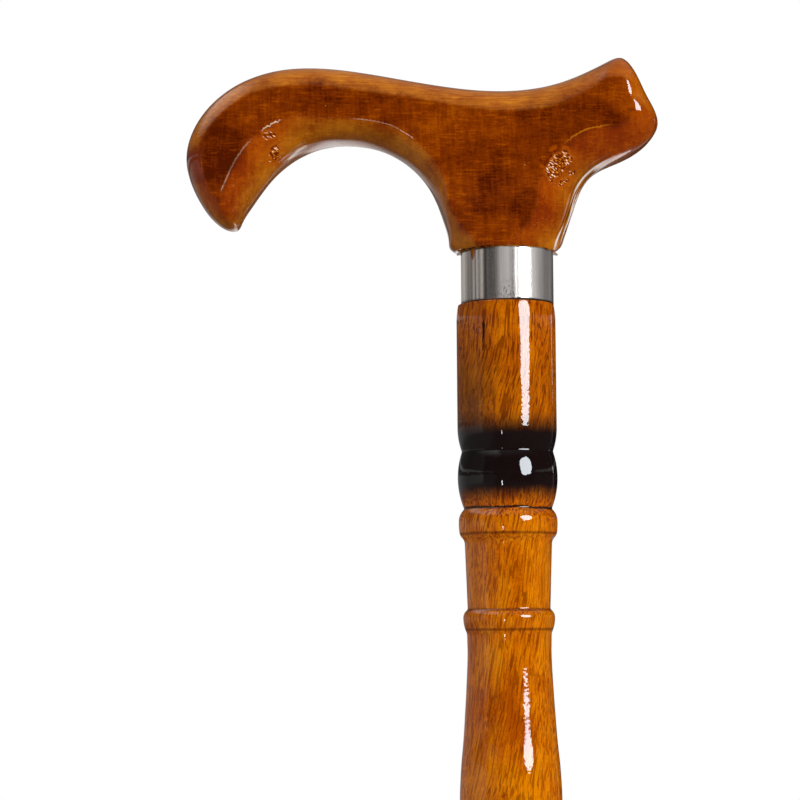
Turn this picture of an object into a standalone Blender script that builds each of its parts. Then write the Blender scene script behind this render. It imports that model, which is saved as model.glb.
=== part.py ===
"""Builds a derby cane: carved wooden handle, polished collar, turned shaft and pull-off rubber tip.

Metres, +Z up. The origin is the middle of the tip's foot, on the shaft's axis.
The handle lies along X: its nose points to -X, its tail to +X, and its flat sides face -Y and +Y.
"""
import math
from collections import namedtuple

import bmesh
import bpy
import numpy

# Gaps between pieces that touch on the real cane
SEAM = 0.0003
SLEEVE_GAP = 0.0003

# Faces around a turned piece, and points along the arcs of its profile
TURN_STEPS = 40
SMALL_ARC_STEPS = 3
ARC_STEPS = 5
LONG_ARC_STEPS = 9
VASE_STEPS = 12

# Edges that turn by more than this many degrees are shaded sharp
SHARP_ANGLE = 32

# Points closer together than this are one point
WELD_DISTANCE = 1e-6

# Collar: a cut length of polished steel tube
COLLAR_DIAMETER = 0.0254
COLLAR_HEIGHT = 0.0140
COLLAR_WALL = 0.0010
COLLAR_CHAMFER = 0.0003

# Shaft: its length below the collar, then its turned features from the top down.
# Each depth or stand is measured in radius from the feature before it.
SHAFT_LENGTH = 0.8330
SHOULDER_STAND = 0.0002
BARREL_ROUND_STAND = 0.00044
BARREL_ROUND_LENGTH = 0.0046
BARREL_LENGTH = 0.0294
BARREL_FALL_LENGTH = 0.0063
GROOVE_DEPTH = 0.0010
KNOB_LENGTH = 0.0148
KNOB_SWELL = 0.00127
KNOB_NARROWING = 0.00047
RING_STAND = 0.00135
RING_RISE_LENGTH = 0.0026
RING_LENGTH = 0.0038
RING_ROUND_DEPTH = 0.0010
RING_ROUND_LENGTH = 0.0017
COVE_DEPTH = 0.00052
COVE_LENGTH = 0.0015
WAIST_LENGTH = 0.0170
WAIST_TAPER = 0.0006
BEAD_LENGTH = 0.0068
BEAD_SWELL = 0.00103
BEAD_FOOT_STAND = 0.0003
THROAT_LENGTH = 0.0042
THROAT_DEPTH = 0.00016
VASE_LENGTH = 0.0410
VASE_SWELL = 0.00232
FOOT_RADIUS = 0.0095
FOOT_LENGTH = 0.0400
FOOT_CHAMFER = 0.0008

# Stud: pulls the handle down on the shaft
STUD_DIAMETER = 0.0080
STUD_IN_HANDLE = 0.0300
STUD_IN_SHAFT = 0.0360
STUD_CHAMFER = 0.0010
STUD_STEPS = 24

# Rubber tip and the washer in its floor
TIP_HEIGHT = 0.0480
TIP_FOOT_DIAMETER = 0.0370
TIP_FLOOR = 0.0120
TIP_SLEEVE_WALL = 0.0038
TIP_SKIRT = 0.0065
TIP_FLARE = 0.0150
TIP_FLARE_HOLLOW = 0.0022
TIP_LIP = 0.0026
TIP_LIP_STAND = 0.0009
TIP_EDGE_ROUND = 0.0010
GRIP_RING_COUNT = 3
GRIP_RING_WIDTH = 0.0024
GRIP_RING_PITCH = 0.0042
GRIP_RING_STAND = 0.0009
TREAD_CENTRE_RADIUS = 0.0050
TREAD_GROOVE_WIDTH = 0.0022
TREAD_RIB_WIDTH = 0.0024
TREAD_DEPTH = 0.0018
TREAD_COUNT = 2
WASHER_THICKNESS = 0.0015
WASHER_BORE = 0.0070

# Handle: a sawn plank with flat sides, whose edges are rounded over by hand
HANDLE_THICKNESS = 0.0254
NECK_LEDGE = 0.0024
ARCH_HEIGHT = 0.0300
GRIP_DEPTH = 0.0203
SADDLE_DROP = 0.0065
TAIL_RISE = 0.0024
TAIL_REACH = 0.0418
NOSE_REACH = 0.0862
NOSE_TIP_HEIGHT = 0.0070
BASE_ROUND = 0.0008
HANDLE_SPAN_STEPS = 4
HANDLE_EDGE_STEPS = 7

# How an edge is rounded over: fullness 2 is a quarter ellipse and more is squarer, and crease is
# the angle in degrees that is left out where the rounding meets the flat side
EdgeForm = namedtuple("EdgeForm", "fullness crease")
SOFT_EDGE = EdgeForm(2.1, 6.0)
CRISP_EDGE = EdgeForm(2.5, 22.0)
FACET_EDGE = EdgeForm(2.1, 14.0)

# Where the stacked pieces come, from the floor up
WASHER_Z = TIP_FLOOR + SEAM
SHAFT_FOOT_Z = WASHER_Z + WASHER_THICKNESS + SEAM
SHOULDER_Z = SHAFT_FOOT_Z + SHAFT_LENGTH
COLLAR_Z = SHOULDER_Z + SEAM
SPIGOT_LENGTH = COLLAR_HEIGHT + SEAM
HANDLE_Z = SHOULDER_Z + SPIGOT_LENGTH + SEAM


def clear_scene():
    """Remove every object of the open scene."""
    for thing in list(bpy.data.objects):
        bpy.data.objects.remove(thing, do_unlink=True)


def material(name, colour, roughness, metallic=0.0):
    """Make a Principled material of one colour."""
    made = bpy.data.materials.new(name)
    made.use_nodes = True
    shader = made.node_tree.nodes["Principled BSDF"]
    shader.inputs["Base Color"].default_value = (*colour, 1.0)
    shader.inputs["Roughness"].default_value = roughness
    shader.inputs["Metallic"].default_value = metallic
    return made


def add_object(name, mesh, place, finish, parent):
    """Turn a bmesh into a named, smooth-shaded object at a place under its parent."""
    data = bpy.data.meshes.new(name)
    mesh.to_mesh(data)
    mesh.free()
    data.materials.append(finish)
    data.shade_smooth()
    data.set_sharp_from_angle(angle=math.radians(SHARP_ANGLE))
    thing = bpy.data.objects.new(name, data)
    bpy.context.scene.collection.objects.link(thing)
    thing.parent = parent
    thing.location = place
    return thing


def add_empty(name, place, parent=None):
    """Add an empty that carries the pieces of one body."""
    empty = bpy.data.objects.new(name, None)
    bpy.context.scene.collection.objects.link(empty)
    empty.parent = parent
    empty.location = place
    return empty


def arc(start, end, bulge, steps):
    """List the points after start, up to end, on an arc whose middle stands off the chord by bulge.

    A positive bulge swells outwards on a profile that is traced from the top down.
    """
    start_r, start_z = start
    end_r, end_z = end
    chord = math.hypot(end_r - start_r, end_z - start_z)
    outward = (-(end_z - start_z) / chord, (end_r - start_r) / chord)
    radius = (chord ** 2 / 4 + bulge ** 2) / (2 * bulge)
    half_angle = math.asin(chord / (2 * radius))
    points = []
    for step in range(1, steps + 1):
        angle = half_angle * (2 * step / steps - 1)
        along = 0.5 + math.sin(angle) * radius / chord
        stand = radius * (math.cos(angle) - math.cos(half_angle))
        points.append((
            start_r + (end_r - start_r) * along + outward[0] * stand,
            start_z + (end_z - start_z) * along + outward[1] * stand,
        ))
    return points


def plumb_arc(start, end, steps, hollow=False):
    """List the points after start, up to end, on an arc that runs straight down at its steeper end."""
    fall = abs(end[0] - start[0])
    drop = abs(end[1] - start[1])
    bulge = math.hypot(fall, drop) / 2 * math.tan(math.atan2(fall, drop) / 2)
    return arc(start, end, -bulge if hollow else bulge, steps)


def ease(start, end, steps):
    """List the points after start, up to end, on an S curve that leaves and arrives straight down."""
    points = []
    for step in range(1, steps + 1):
        share = step / steps
        blend = share * share * (3 - 2 * share)
        points.append((
            start[0] + (end[0] - start[0]) * blend,
            start[1] + (end[1] - start[1]) * share,
        ))
    return points


def spin_profile(profile, steps=TURN_STEPS):
    """Turn a closed or axis-to-axis profile of (radius, z) points about Z into a closed solid."""
    mesh = bmesh.new()
    verts = [mesh.verts.new((radius, 0.0, height)) for radius, height in profile]
    edges = [mesh.edges.new(pair) for pair in zip(verts, verts[1:])]
    if profile[0][0] > 0:
        edges.append(mesh.edges.new((verts[-1], verts[0])))
    bmesh.ops.spin(
        mesh, geom=verts + edges, cent=(0, 0, 0), axis=(0, 0, 1), angle=math.tau, steps=steps,
        use_merge=True, use_duplicate=False,
    )
    bmesh.ops.remove_doubles(mesh, verts=mesh.verts, dist=WELD_DISTANCE)
    bmesh.ops.recalc_face_normals(mesh, faces=mesh.faces)
    return mesh


def shaft_profile():
    """Trace the shaft from the top of its spigot down to its foot; z is 0 at the shoulder."""
    bore = STUD_DIAMETER / 2 + SEAM
    spigot = COLLAR_DIAMETER / 2 - COLLAR_WALL - SEAM
    bore_floor = SPIGOT_LENGTH - STUD_IN_SHAFT - 2 * SEAM
    points = [(0.0, bore_floor), (bore, bore_floor), (bore, SPIGOT_LENGTH), (spigot, SPIGOT_LENGTH)]
    radius = COLLAR_DIAMETER / 2 + SHOULDER_STAND
    points += [(spigot, 0.0), (radius, 0.0)]

    depth = BARREL_ROUND_LENGTH
    radius += BARREL_ROUND_STAND
    points += plumb_arc(points[-1], (radius, -depth), ARC_STEPS)
    depth += BARREL_LENGTH
    points.append((radius, -depth))
    depth += BARREL_FALL_LENGTH
    radius -= GROOVE_DEPTH
    points += plumb_arc(points[-1], (radius, -depth), ARC_STEPS)
    depth += KNOB_LENGTH
    radius -= KNOB_NARROWING
    points += arc(points[-1], (radius, -depth), KNOB_SWELL, LONG_ARC_STEPS)

    depth += RING_RISE_LENGTH
    radius += RING_STAND
    points += plumb_arc(points[-1], (radius, -depth), ARC_STEPS)
    depth += RING_LENGTH
    points.append((radius, -depth))
    depth += RING_ROUND_LENGTH
    radius -= RING_ROUND_DEPTH
    points += plumb_arc(points[-1], (radius, -depth), SMALL_ARC_STEPS)
    depth += COVE_LENGTH
    radius -= COVE_DEPTH
    points += plumb_arc(points[-1], (radius, -depth), SMALL_ARC_STEPS, hollow=True)
    depth += WAIST_LENGTH
    radius -= WAIST_TAPER
    points.append((radius, -depth))

    depth += BEAD_LENGTH
    radius += BEAD_FOOT_STAND
    points += arc(points[-1], (radius, -depth), BEAD_SWELL, LONG_ARC_STEPS)
    depth += THROAT_LENGTH
    radius -= THROAT_DEPTH
    points.append((radius, -depth))
    depth += VASE_LENGTH
    radius += VASE_SWELL
    points += ease(points[-1], (radius, -depth), VASE_STEPS)
    points.append((FOOT_RADIUS, FOOT_LENGTH - SHAFT_LENGTH))
    points.append((FOOT_RADIUS, FOOT_CHAMFER - SHAFT_LENGTH))
    points.append((FOOT_RADIUS - FOOT_CHAMFER, -SHAFT_LENGTH))
    points.append((0.0, -SHAFT_LENGTH))
    return points


def collar_profile():
    """Trace the wall of the collar; z is 0 at its lower end."""
    outer = COLLAR_DIAMETER / 2
    inner = outer - COLLAR_WALL
    return [
        (inner, 0.0), (inner, COLLAR_HEIGHT), (outer - COLLAR_CHAMFER, COLLAR_HEIGHT),
        (outer, COLLAR_HEIGHT - COLLAR_CHAMFER), (outer, COLLAR_CHAMFER), (outer - COLLAR_CHAMFER, 0.0),
    ]


def stud_profile():
    """Trace the plain stud with chamfered ends; z is 0 at its lower end."""
    radius = STUD_DIAMETER / 2
    length = STUD_IN_SHAFT + STUD_IN_HANDLE
    return [
        (0.0, length), (radius - STUD_CHAMFER, length), (radius, length - STUD_CHAMFER),
        (radius, STUD_CHAMFER), (radius - STUD_CHAMFER, 0.0), (0.0, 0.0),
    ]


def washer_profile():
    """Trace the washer in the tip's floor; z is 0 at its lower face."""
    return [
        (WASHER_BORE / 2, 0.0), (WASHER_BORE / 2, WASHER_THICKNESS),
        (FOOT_RADIUS, WASHER_THICKNESS), (FOOT_RADIUS, 0.0),
    ]


def grip_ring(radius, middle, half_width, stand):
    """List the points of one raised ring round the tip's sleeve, from the top down."""
    points = [(radius, middle + half_width)]
    return points + arc(points[0], (radius, middle - half_width), stand, ARC_STEPS)


def tip_profile():
    """Trace the rubber tip from the bore's floor over the lip and down to the tread; z is 0 at its foot."""
    bore = FOOT_RADIUS + SLEEVE_GAP
    sleeve = bore + TIP_SLEEVE_WALL
    foot = TIP_FOOT_DIAMETER / 2
    points = [(0.0, TIP_FLOOR), (bore, TIP_FLOOR), (bore, TIP_HEIGHT)]
    lip = sleeve + TIP_LIP_STAND
    points += [(lip - TIP_EDGE_ROUND, TIP_HEIGHT)]
    points += plumb_arc(points[-1], (lip, TIP_HEIGHT - TIP_EDGE_ROUND), SMALL_ARC_STEPS)
    points += [(lip, TIP_HEIGHT - TIP_LIP), (sleeve, TIP_HEIGHT - TIP_LIP - TIP_LIP_STAND)]
    for ring in range(GRIP_RING_COUNT):
        middle = TIP_HEIGHT - TIP_LIP - GRIP_RING_PITCH * (ring + 1)
        points += grip_ring(sleeve, middle, GRIP_RING_WIDTH / 2, GRIP_RING_STAND)
    points.append((sleeve, TIP_SKIRT + TIP_FLARE))
    points += arc(points[-1], (foot, TIP_SKIRT), -TIP_FLARE_HOLLOW, LONG_ARC_STEPS)
    points.append((foot, TIP_EDGE_ROUND))
    points += plumb_arc(points[-1], (foot - TIP_EDGE_ROUND, 0.0), SMALL_ARC_STEPS)
    for groove in reversed(range(TREAD_COUNT)):
        inner = TREAD_CENTRE_RADIUS + groove * (TREAD_GROOVE_WIDTH + TREAD_RIB_WIDTH)
        outer = inner + TREAD_GROOVE_WIDTH
        points += [(outer, 0.0), (outer, TREAD_DEPTH), (inner, TREAD_DEPTH), (inner, 0.0)]
    points.append((0.0, 0.0))
    return points


def placed(anchor, edge, offsets):
    """List stations of (x, z, flat side's x, flat side's z, fullness, crease) at offsets from an anchor."""
    x, z = anchor
    return [(x + a, z + b, x + c, z + d, *edge) for a, b, c, d in offsets]


def handle_stations():
    """List the stations round the handle, anticlockwise from the neck's right side; z is 0 at its base.

    Each pairs a point of the outline with the point where its rounding meets the flat side.
    """
    base = COLLAR_DIAMETER / 2 + NECK_LEDGE
    middle = -(NOSE_REACH + base) / 2
    crown = ARCH_HEIGHT + GRIP_DEPTH
    neck_right = placed((base, 0.0), FACET_EDGE, [
        (0.0000, -0.0080, -0.0160, -0.0080),
        (0.0004, 0.0010, -0.0144, 0.0015),
        (0.0036, 0.0108, -0.0077, 0.0110),
        (0.0076, 0.0193, -0.0044, 0.0215),
    ])
    tail_under = placed((TAIL_REACH, crown + TAIL_RISE), FACET_EDGE, [
        (-0.0113, -0.0285, -0.0211, -0.0220),
        (-0.0029, -0.0234, -0.0098, -0.0170),
        (0.0000, -0.0188, -0.0064, -0.0155),
    ])
    tail_top = placed((TAIL_REACH, crown + TAIL_RISE), SOFT_EDGE, [
        (-0.0029, -0.0107, -0.0078, -0.0126),
        (-0.0066, -0.0032, -0.0108, -0.0085),
        (-0.0098, 0.0000, -0.0130, -0.0072),
        (-0.0140, -0.0012, -0.0154, -0.0086),
    ])
    saddle = placed((0.0, crown - SADDLE_DROP), SOFT_EDGE, [
        (0.0150, 0.0022, 0.0150, -0.0058),
        (0.0010, 0.0000, 0.0015, -0.0080),
        (-0.0170, 0.0014, -0.0170, -0.0056),
    ])
    palm = placed((middle, crown), SOFT_EDGE, [
        (0.0115, -0.0012, 0.0110, -0.0085),
        (-0.0055, 0.0000, -0.0045, -0.0070),
        (-0.0205, -0.0038, -0.0180, -0.0095),
    ])
    nose_front = placed((-NOSE_REACH, crown), SOFT_EDGE, [
        (0.0037, -0.0136, 0.0085, -0.0166),
        (0.0000, -0.0243, 0.0049, -0.0241),
    ])
    nose_tip = placed((-NOSE_REACH, NOSE_TIP_HEIGHT), CRISP_EDGE, [
        (0.0035, 0.0072, 0.0066, 0.0090),
        (0.0086, 0.0011, 0.0084, 0.0066),
        (0.0116, -0.0002, 0.0092, 0.0060),
        (0.0142, 0.0011, 0.0099, 0.0071),
        (0.0167, 0.0051, 0.0113, 0.0105),
        (0.0231, 0.0135, 0.0150, 0.0180),
    ])
    arch = placed((middle, ARCH_HEIGHT), CRISP_EDGE, [
        (-0.0020, -0.0021, -0.0085, 0.0045),
        (0.0090, 0.0000, 0.0080, 0.0045),
        (0.0210, -0.0033, 0.0225, 0.0012),
    ])
    neck_left = placed((-base, 0.0), CRISP_EDGE, [
        (-0.0057, 0.0184, -0.0020, 0.0194),
        (-0.0015, 0.0085, 0.0006, 0.0090),
        (-0.0002, 0.0010, 0.0056, 0.0020),
        (0.0000, -0.0080, 0.0075, -0.0080),
    ])
    top = tail_top + saddle + palm
    return neck_right + tail_under + top + nose_front + nose_tip + arch + neck_left


def smooth_loop(stations, steps):
    """Return the stations of a closed cubic spline through the given ones, steps to a span."""
    knots = numpy.array(stations)
    count = len(knots)
    after = numpy.roll(knots, -1, axis=0) - knots
    span = numpy.linalg.norm(after[:, :2], axis=1)
    slope = after / span[:, None]
    matrix = numpy.zeros((count, count))
    for knot in range(count):
        matrix[knot, knot - 1] = span[knot]
        matrix[knot, knot] = 2 * (span[knot] + span[knot - 1])
        matrix[knot, (knot + 1) % count] = span[knot - 1]
    before = numpy.roll(span, 1)[:, None]
    tangents = numpy.linalg.solve(
        matrix, 3 * (before * slope + span[:, None] * numpy.roll(slope, 1, axis=0)))
    smooth = []
    for knot in range(count):
        follow = (knot + 1) % count
        for step in range(steps):
            t = step / steps
            blend = t * t * (3 - 2 * t)
            leave = (t ** 3 - 2 * t * t + t) * span[knot]
            arrive = (t ** 3 - t * t) * span[knot]
            smooth.append(
                knots[knot] + (knots[follow] - knots[knot]) * blend
                + leave * tangents[knot] + arrive * tangents[follow])
    return smooth


def edge_point(station, level):
    """Return the point of a station's rounding at a level from 0, mid-plank, to 1, the flat side."""
    x, z, side_x, side_z, fullness, crease = station
    power = 2 / fullness
    last = math.radians(90 - crease)
    across = (math.sin(level * last) / math.sin(last)) ** power
    depth = (1 - math.cos(level * last) ** power) / (1 - math.cos(last) ** power)
    return x + (side_x - x) * depth, HANDLE_THICKNESS / 2 * across, z + (side_z - z) * depth


def handle_half():
    """Grow the back half of the handle from its outline, ring by ring, to the flat side."""
    stations = smooth_loop(handle_stations(), HANDLE_SPAN_STEPS)
    mesh = bmesh.new()
    number = mesh.verts.layers.int.new("station")
    ring = []
    for index, station in enumerate(stations):
        vert = mesh.verts.new(edge_point(station, 0.0))
        vert[number] = index
        ring.append(vert)
    border = [mesh.edges.new(pair) for pair in zip(ring, ring[1:] + ring[:1])]
    for step in range(1, HANDLE_EDGE_STEPS + 1):
        grown = bmesh.ops.extrude_edge_only(mesh, edges=border)["geom"]
        ring = [item for item in grown if isinstance(item, bmesh.types.BMVert)]
        for vert in ring:
            vert.co = edge_point(stations[vert[number]], step / HANDLE_EDGE_STEPS)
        new = set(ring)
        border = [edge for edge in mesh.edges if edge.verts[0] in new and edge.verts[1] in new]
    bmesh.ops.contextual_create(mesh, geom=border)
    return mesh


def handle_mesh():
    """Mirror the half handle, cut it level at its base and round that edge."""
    mesh = handle_half()
    whole = mesh.verts[:] + mesh.edges[:] + mesh.faces[:]
    bmesh.ops.mirror(mesh, geom=whole, axis="Y", merge_dist=WELD_DISTANCE)
    bmesh.ops.recalc_face_normals(mesh, faces=mesh.faces)
    cut = bmesh.ops.bisect_plane(
        mesh, geom=mesh.verts[:] + mesh.edges[:] + mesh.faces[:], plane_co=(0, 0, 0), plane_no=(0, 0, -1),
        clear_outer=True,
    )["geom_cut"]
    rim = [item for item in cut if isinstance(item, bmesh.types.BMEdge)]
    bmesh.ops.contextual_create(mesh, geom=rim)
    bmesh.ops.bevel(
        mesh, geom=rim, offset=BASE_ROUND, segments=2, profile=0.5, affect="EDGES", clamp_overlap=True)
    bmesh.ops.remove_doubles(mesh, verts=mesh.verts, dist=WELD_DISTANCE)
    bmesh.ops.recalc_face_normals(mesh, faces=mesh.faces)
    return mesh


def add_bore(thing, radius, depth, parent):
    """Drill a blind hole of a radius and depth up into the base of a piece."""
    mesh = bmesh.new()
    bmesh.ops.create_cone(
        mesh, cap_ends=True, cap_tris=False, segments=STUD_STEPS, radius1=radius, radius2=radius,
        depth=2 * depth,
    )
    data = bpy.data.meshes.new(thing.name + "_bore")
    mesh.to_mesh(data)
    mesh.free()
    cutter = bpy.data.objects.new(thing.name + "_bore", data)
    bpy.context.scene.collection.objects.link(cutter)
    cutter.parent = parent
    cutter.location = thing.location
    cutter.hide_render = True
    cutter.display_type = "WIRE"
    cut = thing.modifiers.new("Bore", "BOOLEAN")
    cut.operation = "DIFFERENCE"
    cut.solver = "EXACT"
    cut.object = cutter


def build():
    """Build every piece of the cane."""
    clear_scene()
    handle_wood = material("handle_wood", (0.25, 0.08, 0.010), 0.12)
    shaft_wood = material("shaft_wood", (0.52, 0.20, 0.020), 0.12)
    polished_steel = material("polished_steel", (0.78, 0.78, 0.77), 0.18, 1.0)
    plain_steel = material("plain_steel", (0.55, 0.55, 0.56), 0.35, 1.0)
    zinc_steel = material("zinc_steel", (0.60, 0.61, 0.62), 0.40, 1.0)
    rubber = material("rubber", (0.018, 0.017, 0.016), 0.75)

    cane = add_empty("cane", (0, 0, 0))
    tip = add_empty("tip", (0, 0, SHAFT_FOOT_Z), cane)

    handle = add_object("handle", handle_mesh(), (0, 0, HANDLE_Z), handle_wood, cane)
    add_bore(handle, STUD_DIAMETER / 2 + SEAM, STUD_IN_HANDLE + SEAM, cane)
    add_object("collar", spin_profile(collar_profile()), (0, 0, COLLAR_Z), polished_steel, cane)
    add_object("shaft", spin_profile(shaft_profile()), (0, 0, SHOULDER_Z), shaft_wood, cane)
    stud_z = HANDLE_Z - SEAM - STUD_IN_SHAFT
    add_object("joint_stud", spin_profile(stud_profile(), STUD_STEPS), (0, 0, stud_z), plain_steel, cane)

    tip_z = -SHAFT_FOOT_Z
    add_object("rubber_tip", spin_profile(tip_profile()), (0, 0, tip_z), rubber, tip)
    add_object("tip_washer", spin_profile(washer_profile()), (0, 0, tip_z + WASHER_Z), zinc_steel, tip)


build()
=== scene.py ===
"""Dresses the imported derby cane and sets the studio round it.

Sizes are in metres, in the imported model's frame: +Z up, the origin in the middle of the tip's foot.
The pieces repeat the model's own sizes and add what it leaves plain: fine curves, threads, grain and lacquer.
"""

import logging
import math
from dataclasses import dataclass
from enum import Enum
from typing import NamedTuple, Union

import bmesh
import bpy
import numpy as np
from mathutils import Matrix, Vector, noise
from mathutils.kdtree import KDTree


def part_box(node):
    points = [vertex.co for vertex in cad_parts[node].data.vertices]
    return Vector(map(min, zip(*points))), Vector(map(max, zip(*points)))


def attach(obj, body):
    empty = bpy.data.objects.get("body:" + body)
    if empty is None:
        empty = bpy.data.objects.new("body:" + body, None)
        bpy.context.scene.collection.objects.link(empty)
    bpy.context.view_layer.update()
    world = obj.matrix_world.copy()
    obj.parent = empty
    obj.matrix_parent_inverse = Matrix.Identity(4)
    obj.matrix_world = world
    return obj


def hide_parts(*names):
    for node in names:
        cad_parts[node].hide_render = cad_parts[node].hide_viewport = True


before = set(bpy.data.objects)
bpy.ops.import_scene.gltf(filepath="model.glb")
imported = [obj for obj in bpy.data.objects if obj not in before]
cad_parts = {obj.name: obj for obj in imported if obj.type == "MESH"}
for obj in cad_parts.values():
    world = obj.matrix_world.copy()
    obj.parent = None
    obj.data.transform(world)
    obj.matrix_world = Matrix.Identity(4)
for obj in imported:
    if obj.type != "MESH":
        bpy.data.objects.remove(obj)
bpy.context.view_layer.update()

LOG = logging.getLogger("cane")

Mesh = bmesh.types.BMesh
Socket = bpy.types.NodeSocket
Colour = tuple[float, float, float]
Point = tuple[float, float]
Feed = Union[Socket, float, tuple]
Knot = Union[float, np.ndarray]
# Round marks that go through the plank: each one's place across and up from the base, reach and strength
Patches = tuple[tuple[float, float, float, float], ...]

# Points closer together than this are one point
WELD = 1e-6

# Edges that turn by more than this many degrees are shaded sharp
SHARP_ANGLE = 32.0

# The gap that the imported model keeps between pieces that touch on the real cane
SEAM = 0.0003

WHITE: Colour = (1.0, 1.0, 1.0)


class Body(Enum):
    """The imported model's bodies: the cane, and the tip that pulls off it."""

    CANE = "cane"
    TIP = "tip"


class Slot(Enum):
    """The record's material slots."""

    HANDLE_WOOD = "handle_wood"
    POLISHED_STEEL = "polished_steel"
    SHAFT_WOOD = "shaft_wood"
    PLAIN_STEEL = "plain_steel"
    TIP_RUBBER = "tip_rubber"
    ZINC_STEEL = "zinc_steel"


class Way(Enum):
    """How the turner's tool runs from one point of the shaft to the next."""

    STRAIGHT = "straight"
    BOWED = "bowed"
    ROUND = "round"
    COVE = "cove"


class NodeWork:
    """A node tree that is put together a step at a time."""

    def __init__(self, tree: bpy.types.NodeTree) -> None:
        """Start on a tree.

        Args:
            tree: The node tree to build in.
        """
        self.tree = tree

    def feed(self, socket: Socket, value: Feed) -> None:
        """Link a socket into an input, or write a constant there.

        Args:
            socket: The input to fill.
            value: An output socket, a number, or a vector or colour of three.
        """
        if isinstance(value, bpy.types.NodeSocket):
            self.tree.links.new(value, socket)
        elif socket.type == "RGBA":
            socket.default_value = (*value, 1.0)
        else:
            socket.default_value = value

    def node(self, kind: str, feeds: dict[Union[int, str], Feed], **settings: object) -> bpy.types.Node:
        """Add a node.

        Args:
            kind: The shader node's type, without its prefix.
            feeds: What goes into its inputs, by name or number.
            **settings: The node's own options.

        Returns:
            The new node.
        """
        made = self.tree.nodes.new("ShaderNode" + kind)
        for key, value in settings.items():
            setattr(made, key, value)
        for key, value in feeds.items():
            self.feed(made.inputs[key], value)
        return made

    def math(self, operation: str, first: Feed, *others: Feed) -> Socket:
        """Work out a number, from left to right where the operation takes two and more are given.

        Args:
            operation: The Math node's operation.
            first: The first value.
            *others: The values after it.

        Returns:
            The result's socket.
        """
        total = first
        for value in others or (0.0,):
            total = self.node("Math", {0: total, 1: value, 2: 0.0}, operation=operation).outputs[0]
        return total

    def times(self, *values: Feed) -> Socket:
        """Multiply values."""
        return self.math("MULTIPLY", *values)

    def plus(self, *values: Feed) -> Socket:
        """Add values up."""
        return self.math("ADD", *values)

    def minus(self, first: Feed, second: Feed) -> Socket:
        """Take the second value from the first."""
        return self.math("SUBTRACT", first, second)

    def highest(self, *values: Feed) -> Socket:
        """Return the highest of some values."""
        return self.math("MAXIMUM", *values)

    def blend(self, *parts: tuple[Socket, float]) -> Socket:
        """Add patterns up by their weights."""
        return self.plus(*[self.times(pattern, weight) for pattern, weight in parts])

    def vector(self, operation: str, *vectors: Feed) -> bpy.types.Node:
        """Add a vector node on one or two vectors."""
        return self.node("VectorMath", dict(enumerate(vectors)), operation=operation)

    def axes(self, vector: Socket) -> list[Socket]:
        """Take a vector apart into its X, Y and Z."""
        return list(self.node("SeparateXYZ", {0: vector}).outputs)

    def mix(self, factor: Feed, first: Feed, second: Feed, way: str = "MIX") -> Socket:
        """Blend two colours.

        Args:
            factor: How much of the second colour shows.
            first: The first colour.
            second: The second colour.
            way: The Mix node's blend type.

        Returns:
            The mixed colour's socket.
        """
        made = self.node("Mix", {}, data_type="RGBA", blend_type=way)
        for number, value in ((0, factor), (6, first), (7, second)):
            self.feed(made.inputs[number], value)
        return made.outputs[2]

    def ramp(self, source: Socket, *stops: tuple[float, Colour]) -> Socket:
        """Colour a value by a ramp.

        Args:
            source: The value, from 0 to 1.
            *stops: Positions and their colours, in rising order.

        Returns:
            The colour's socket.
        """
        made = self.node("ValToRGB", {0: source})
        elements = made.color_ramp.elements
        for element, (position, colour) in zip((elements[0], elements[-1]), (stops[0], stops[-1])):
            element.position = position
            element.color = (*colour, 1.0)
        for position, colour in stops[1:-1]:
            elements.new(position).color = (*colour, 1.0)
        return made.outputs[0]

    def levels(self, source: Feed, low: float, high: float, bottom: Feed = 0.0, top: Feed = 1.0) -> Socket:
        """Stretch the range from low to high smoothly over the range from bottom to top.

        Args:
            source: The value.
            low: The value that becomes bottom.
            high: The value that becomes top.
            bottom: The result at low and below.
            top: The result at high and above.

        Returns:
            The result's socket.
        """
        feeds = {"Value": source, "From Min": low, "From Max": high, "To Min": bottom, "To Max": top}
        return self.node("MapRange", feeds, interpolation_type="SMOOTHSTEP").outputs[0]


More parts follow.
